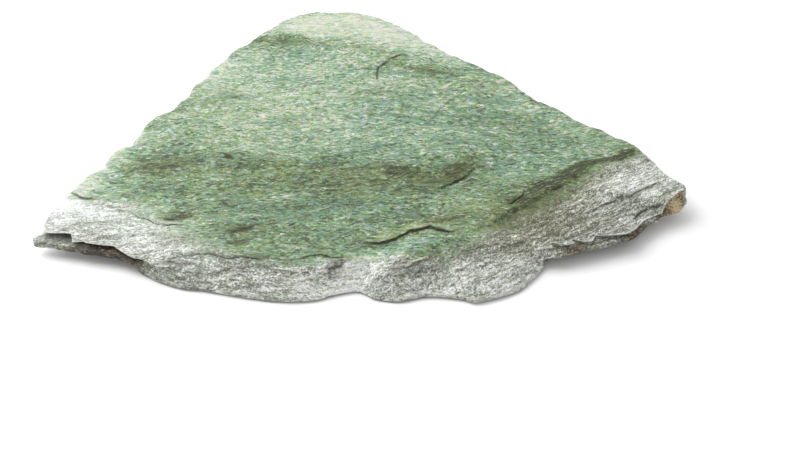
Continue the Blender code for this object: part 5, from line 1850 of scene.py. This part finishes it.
@dataclass(frozen=True)
class QuartziteFinish:
    """Cleft green quartzite: speckled grains along the layers, grey where it is freshly broken."""

    green: tuple[tuple[float, Tone], ...] = (
        (0.00, seen(62, 76, 43)), (0.20, seen(99, 124, 84)), (0.42, seen(133, 166, 126)),
        (0.62, seen(163, 195, 157)), (0.82, seen(200, 223, 190)), (1.00, seen(244, 250, 230)),
    )
    grey: tuple[tuple[float, Tone], ...] = (
        (0.00, seen(98, 96, 78)), (0.20, seen(136, 139, 121)), (0.40, seen(165, 170, 155)),
        (0.60, seen(206, 212, 202)), (0.80, seen(249, 253, 247)), (1.00, seen(288, 290, 286)),
    )
    yellow: Tone = seen(172, 192, 112)
    teal: Tone = seen(128, 182, 162)
    olive: Tone = seen(98, 104, 60)
    # The dark brown of the painted shade and of the open seams.
    deep_shade: Tone = seen(48, 42, 30)
    # The pale of worn rims, which also paints their highlight.
    rim: Tone = seen(250, 249, 236)
    weathered: tuple[tuple[float, Tone], ...] = (
        (0.00, seen(44, 36, 26)), (0.30, seen(98, 82, 62)), (0.60, seen(164, 142, 106)),
        (1.00, seen(236, 216, 168)),
    )
    # The colour that the crease's painted shade multiplies by.
    shade: Tone = (0.20, 0.21, 0.11)
    roughness: float = 0.62
    bend_length: float = 0.012
    bend: float = 0.007

    def green_face(self, tree: Tree, tone: Sock, hue: Sock) -> tuple[Sock, FaceNoise]:
        """The green face's colour.

        Args:
            tree: The material's tree.
            tone: How much lighter the face is here than its mean.
            hue: How much more yellow it is.

        Returns:
            The ramp's colour at the sum of the tone, the noises and two grains' numbers, with yellow, teal
            and brown grains mixed in and each grain's red and blue varied, and the noises themselves.
        """
        place = tree.bent(tree.object_place(), self.bend_length, self.bend)
        patches = tree.noise(tree.scaled(place, (0.046, 0.014, 0.010)), 2.0)
        streaks = tree.noise(tree.scaled(place, (0.018, 0.0032, 0.0022)), 3.0, 0.6)
        threads = tree.noise(tree.scaled(place, (0.0046, 0.0014, 0.0012)), 3.0, 0.6)
        grit = tree.noise(tree.scaled(place, (0.0012, 0.0010, 0.0009)), 2.0, 0.7)
        first, second, third = tree.cells(tree.bent(tree.scaled(place, (0.0042, 0.0014, 0.0012)), 1.0, 1.0))
        small, flake, fleck = tree.cells(tree.scaled(place, (0.0018, 0.0009, 0.0009)))
        level = 0.49 + tone + 0.30 * patches + 0.40 * streaks + 0.46 * threads + 0.22 * grit
        level = level + 0.46 * (first - 0.5) + 0.62 * (small - 0.5)
        colour = tree.colour_ramp(level, self.green)
        yellowness = tree.stepped(second + 0.45 * hue + 0.30 * patches, 0.55, 0.95)
        tealness = tree.stepped(third - 0.45 * hue - 0.20 * patches, 0.55, 0.95)
        colour = tree.mixed(yellowness * 0.42, colour, self.yellow)
        colour = tree.mixed(tealness * 0.46, colour, self.teal)
        greyer, redder, bluer = tree.cells(tree.scaled(place, (0.0015, 0.0011, 0.0010)))
        varied = 1.05 - 0.45 * tone
        red = (0.40 * (redder - 0.5) + 0.38 * (greyer - 0.5)) * varied
        blue = (0.26 * (bluer - 0.5) + 0.70 * (greyer - 0.5)) * varied
        colour = tree.dyed(colour, red, blue)
        browned = tree.stepped(fleck - 0.5 * tone + 0.35 * streaks + 0.30 * hue, 0.70, 1.05)
        colour = tree.mixed(browned * 0.50, colour, self.olive)
        return colour, FaceNoise(patches, streaks, threads, grit, small, flake)

    def grey_face(self, tree: Tree, fibre: Sock, tone: Sock, hue: Sock) -> tuple[Sock, BreakNoise]:
        """The grey break's colour.

        Args:
            tree: The material's tree.
            fibre: The place along and across the break's fibres.
            tone: How much lighter the break is here than its mean.
            hue: How much more yellow it is.

        Returns:
            The ramp's colour at the tone plus the noises and grains, which are weaker where the tone is
            light and at the left-hand end, with each grain's red and blue varied, and the noises.
        """
        bands = tree.noise(tree.scaled(fibre, (0.0320, 0.0034, 0.0060)), 2.0, 0.5)
        fibres = tree.noise(tree.scaled(fibre, (0.0140, 0.0013, 0.0022)), 2.0, 0.6)
        strands = tree.noise(tree.scaled(fibre, (0.0040, 0.0012, 0.0012)), 2.0, 0.6)
        coarse, tint, stain = tree.cells(tree.bent(tree.scaled(fibre, (0.0022, 0.0012, 0.0012)), 1.0, 1.0))
        sugar, glint, speck = tree.cells(tree.scaled(fibre, (0.0010, 0.0007, 0.0007)))
        change = 0.36 * bands + 0.58 * fibres + 0.36 * strands + 0.38 * (coarse - 0.5) + 0.82 * (sugar - 0.5)
        calmed = 1.0 - 0.22 * tree.stepped(tree.along(fibre), -0.06, -0.15)
        worn = 0.66 + tone + change * (0.98 - 0.35 * tone) * calmed
        colour = tree.colour_ramp(0.8 * worn, self.grey)
        red = 0.10 * (tint + glint - 1.0)
        blue = 0.10 * (stain + speck - 1.0) + 0.5 * red - 0.08 * hue - 0.02
        return tree.dyed(colour, red + 0.03 * hue, blue), BreakNoise(fibres, strands, coarse, sugar)

    def material(self, name: str) -> bpy.types.Material:
        """The finish as a material.

        Args:
            name: The material's name.

        Returns:
            A matt Principled BSDF whose colour is the grey break's and, where the stone is green, the green
            face's. The weathering, the dark strands with the crease's painted shade, the seams and the
            painted shade of pits and recesses are laid over it, and the noises' heights make its bump.
        """
        material = bpy.data.materials.new(name)
        tree = Tree(material)
        green, tone, hue, rust = (tree.attribute(label) for label in ("green", "tone", "hue", "rust"))
        fibre = tree.bent(tree.attribute_vector("fibre"), self.bend_length, self.bend)
        green_face, face = self.green_face(tree, tone, hue)
        grey_face, broken = self.grey_face(tree, fibre, tone, hue)

        greenness = green + 0.40 * face.streaks + 0.34 * face.threads + 0.20 * face.grit
        ragged = tree.stepped(greenness, 0.22, 0.78)
        colour = tree.mixed(ragged, grey_face, green_face)
        weathered = 0.46 + 0.6 * tone + 0.30 * broken.strands + 0.30 * face.threads
        weathered = weathered + 0.60 * (broken.sugar - 0.5) + 0.50 * (broken.coarse - 0.5)
        weathered = tree.colour_ramp(weathered, self.weathered)
        rusted = tree.stepped(rust + 0.30 * face.threads + 0.20 * face.grit, 0.35, 0.75)
        colour = tree.mixed(rusted, colour, weathered)
        # The crease's painted shade, hatched with olive strands, multiplies the colour towards the shade.
        hatched = tree.noise(tree.scaled(fibre, (0.0110, 0.0012, 0.0016)), 3.0, 0.65)
        creased = tree.attribute("crease") * (1.0 + 1.4 * hatched + 0.7 * broken.strands + 0.5 * face.grit)
        creased = tree.stepped(creased, 0.38, 0.90)
        colour = tree.times(colour, tree.mixed(creased, (1.0, 1.0, 1.0), self.shade))
        colour, opened = self.seamed(tree, colour, face.streaks, face.threads, face.grit)

        green_height = 0.00026 * face.threads + 0.00022 * face.grit + 0.00022 * face.streaks
        green_height = green_height + 0.00016 * face.small
        grey_height = 0.00018 * broken.fibres + 0.00018 * broken.strands + 0.00020 * broken.sugar
        height = grey_height + ragged * (green_height - grey_height) - 0.00025 * opened
        bump = tree.node("ShaderNodeBump", Height=height, Distance=1.0, Strength=0.8)
        rough = self.roughness - 0.22 * tree.stepped(face.flake, 0.80, 0.92)
        shader = tree.node("ShaderNodeBsdfPrincipled", Base_Color=colour, Roughness=rough, Normal=bump)
        tree.finish(shader)
        return material

    def seamed(
        self, tree: Tree, colour: "Sock", streaks: "Sock", threads: "Sock", grit: "Sock"
    ) -> tuple["Sock", "Sock"]:
        """The colour with the worn rims and their painted highlights, the seams and the painted shade laid
        over it.

        Args:
            tree: The material's tree.
            colour: The stone's own colour.
            streaks: The long noise that breaks a seam off in places.
            threads: The noise that, with finer jags, makes a seam wavy.
            grit: The noise that makes its edges ragged.

        Returns:
            The colour, and the share that an open seam has at the point. A pale seam and a worn rim, partly a
            painted highlight, turn to the rim's colour, and painted shade and an open seam to the deep
            shade's colour, with an olive halo.
        """
        seam, crack, dark, pale = (tree.attribute(label) for label in ("seam", "crack", "dark", "pale"))
        jags = tree.noise(tree.scaled(tree.object_place(), (0.0026, 0.0020, 0.0020)), 2.0, 0.6)
        waved = seam + 0.5 * threads + 1.5 * jags
        across = waved.above(0.0 - waved)
        whole = 0.35 + 0.65 * tree.stepped(streaks + threads, -0.8, 0.2)
        gap = tree.stepped(across + 0.7 * grit, 1.4, 0.1) * whole
        # Worn rims and pale seams, partly a painted highlight.
        worn = (tree.stepped(pale + 0.25 * threads, 0.25, 0.95) * 0.75).above(gap * (0.0 - crack))
        colour = tree.mixed(worn, colour, self.rim)
        colour = tree.mixed(tree.stepped(across, 5.0, 0.5) * crack.above(0.0) * 0.40, colour, self.olive)
        opened = gap * crack.above(0.0)
        # Painted shade of pits, recesses and the resting face, and the open seams.
        shade_and_cracks = tree.stepped(dark + 0.22 * threads, 0.15, 0.95).above(opened)
        return tree.mixed(shade_and_cracks * 0.90, colour, self.deep_shade), opened


@dataclass(frozen=True)
class FloorFinish:
    """A pale matt floor, with a faint cloudiness."""

    light: Tone = (0.80, 0.80, 0.80)
    shade: Tone = (0.78, 0.78, 0.785)
    roughness: float = 0.9

    def material(self, name: str) -> bpy.types.Material:
        """The finish as a material.

        Args:
            name: The material's name.

        Returns:
            A matt Principled BSDF, whose colour drifts between the light and the shade.
        """
        material = bpy.data.materials.new(name)
        tree = Tree(material)
        cloud = tree.noise(tree.scaled(tree.object_place(), (0.4, 0.4, 0.4)), 2.0)
        colour = tree.mixed(tree.stepped(cloud, -1.0, 1.0), self.light, self.shade)
        shader = tree.node("ShaderNodeBsdfPrincipled", Base_Color=colour, Roughness=self.roughness)
        tree.finish(shader)
        return material


@dataclass(frozen=True)
class Studio:
    """The floor, the light and the camera."""

    floor_half: float = 4.0
    sky: float = 0.92
    key_power: float = 27.5
    key_place: tuple[float, float, float] = (-0.90, 0.30, 1.10)
    key_size: float = 1.50
    lens: float = 80.0
    pitch: float = 38.0
    distance: float = 1.170
    target: tuple[float, float, float] = (0.0239, -0.0797, 0.0)

    def floor(self) -> bpy.types.Object:
        """The floor.

        Returns:
            A large level square under the stone.
        """
        half = self.floor_half
        mesh = bpy.data.meshes.new("floor")
        corners = [(-half, -half, 0), (half, -half, 0), (half, half, 0), (-half, half, 0)]
        mesh.from_pydata(corners, [], [(0, 1, 2, 3)])
        mesh.materials.append(FloorFinish().material("pale_floor"))
        floor = bpy.data.objects.new("floor", mesh)
        bpy.context.scene.collection.objects.link(floor)
        return floor

    def light(self) -> None:
        """A white sky all round, and a large soft lamp above and a little behind."""
        world = bpy.data.worlds.new("white_sky")
        world.use_nodes = True
        background = world.node_tree.nodes["Background"]
        background.inputs["Color"].default_value = (1.0, 1.0, 1.0, 1.0)
        background.inputs["Strength"].default_value = self.sky
        bpy.context.scene.world = world
        lamp = bpy.data.lights.new("softbox", "AREA")
        lamp.shape = "SQUARE"
        lamp.size = self.key_size
        lamp.energy = self.key_power
        box = bpy.data.objects.new("softbox", lamp)
        box.location = self.key_place
        box.rotation_euler = Vector(self.key_place).to_track_quat("Z", "Y").to_euler()
        bpy.context.scene.collection.objects.link(box)

    def camera(self) -> bpy.types.Object:
        """The camera.

        Returns:
            The camera in front of the long edge, looking down by the pitch at the target.
        """
        data = bpy.data.cameras.new("camera")
        data.lens = self.lens
        data.sensor_width = 36.0
        camera = bpy.data.objects.new("camera", data)
        pitch = math.radians(self.pitch)
        back = Vector((0.0, -math.cos(pitch), math.sin(pitch)))
        camera.location = Vector(self.target) + self.distance * back
        camera.rotation_euler = back.to_track_quat("Z", "Y").to_euler()
        bpy.context.scene.collection.objects.link(camera)
        bpy.context.scene.camera = camera
        bpy.context.scene.view_settings.view_transform = "Standard"
        return camera


def main() -> None:
    """Build the stone around the frame, dress it, and light it."""
    logging.basicConfig(level=logging.INFO, format="%(message)s")
    stone = Slab().build("green_slab")
    stone.data.materials.append(QuartziteFinish().material("green_quartzite"))
    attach(stone, "root")
    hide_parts("slab")
    studio = Studio()
    studio.floor()
    studio.light()
    studio.camera()


if __name__ == "__main__":
    main()
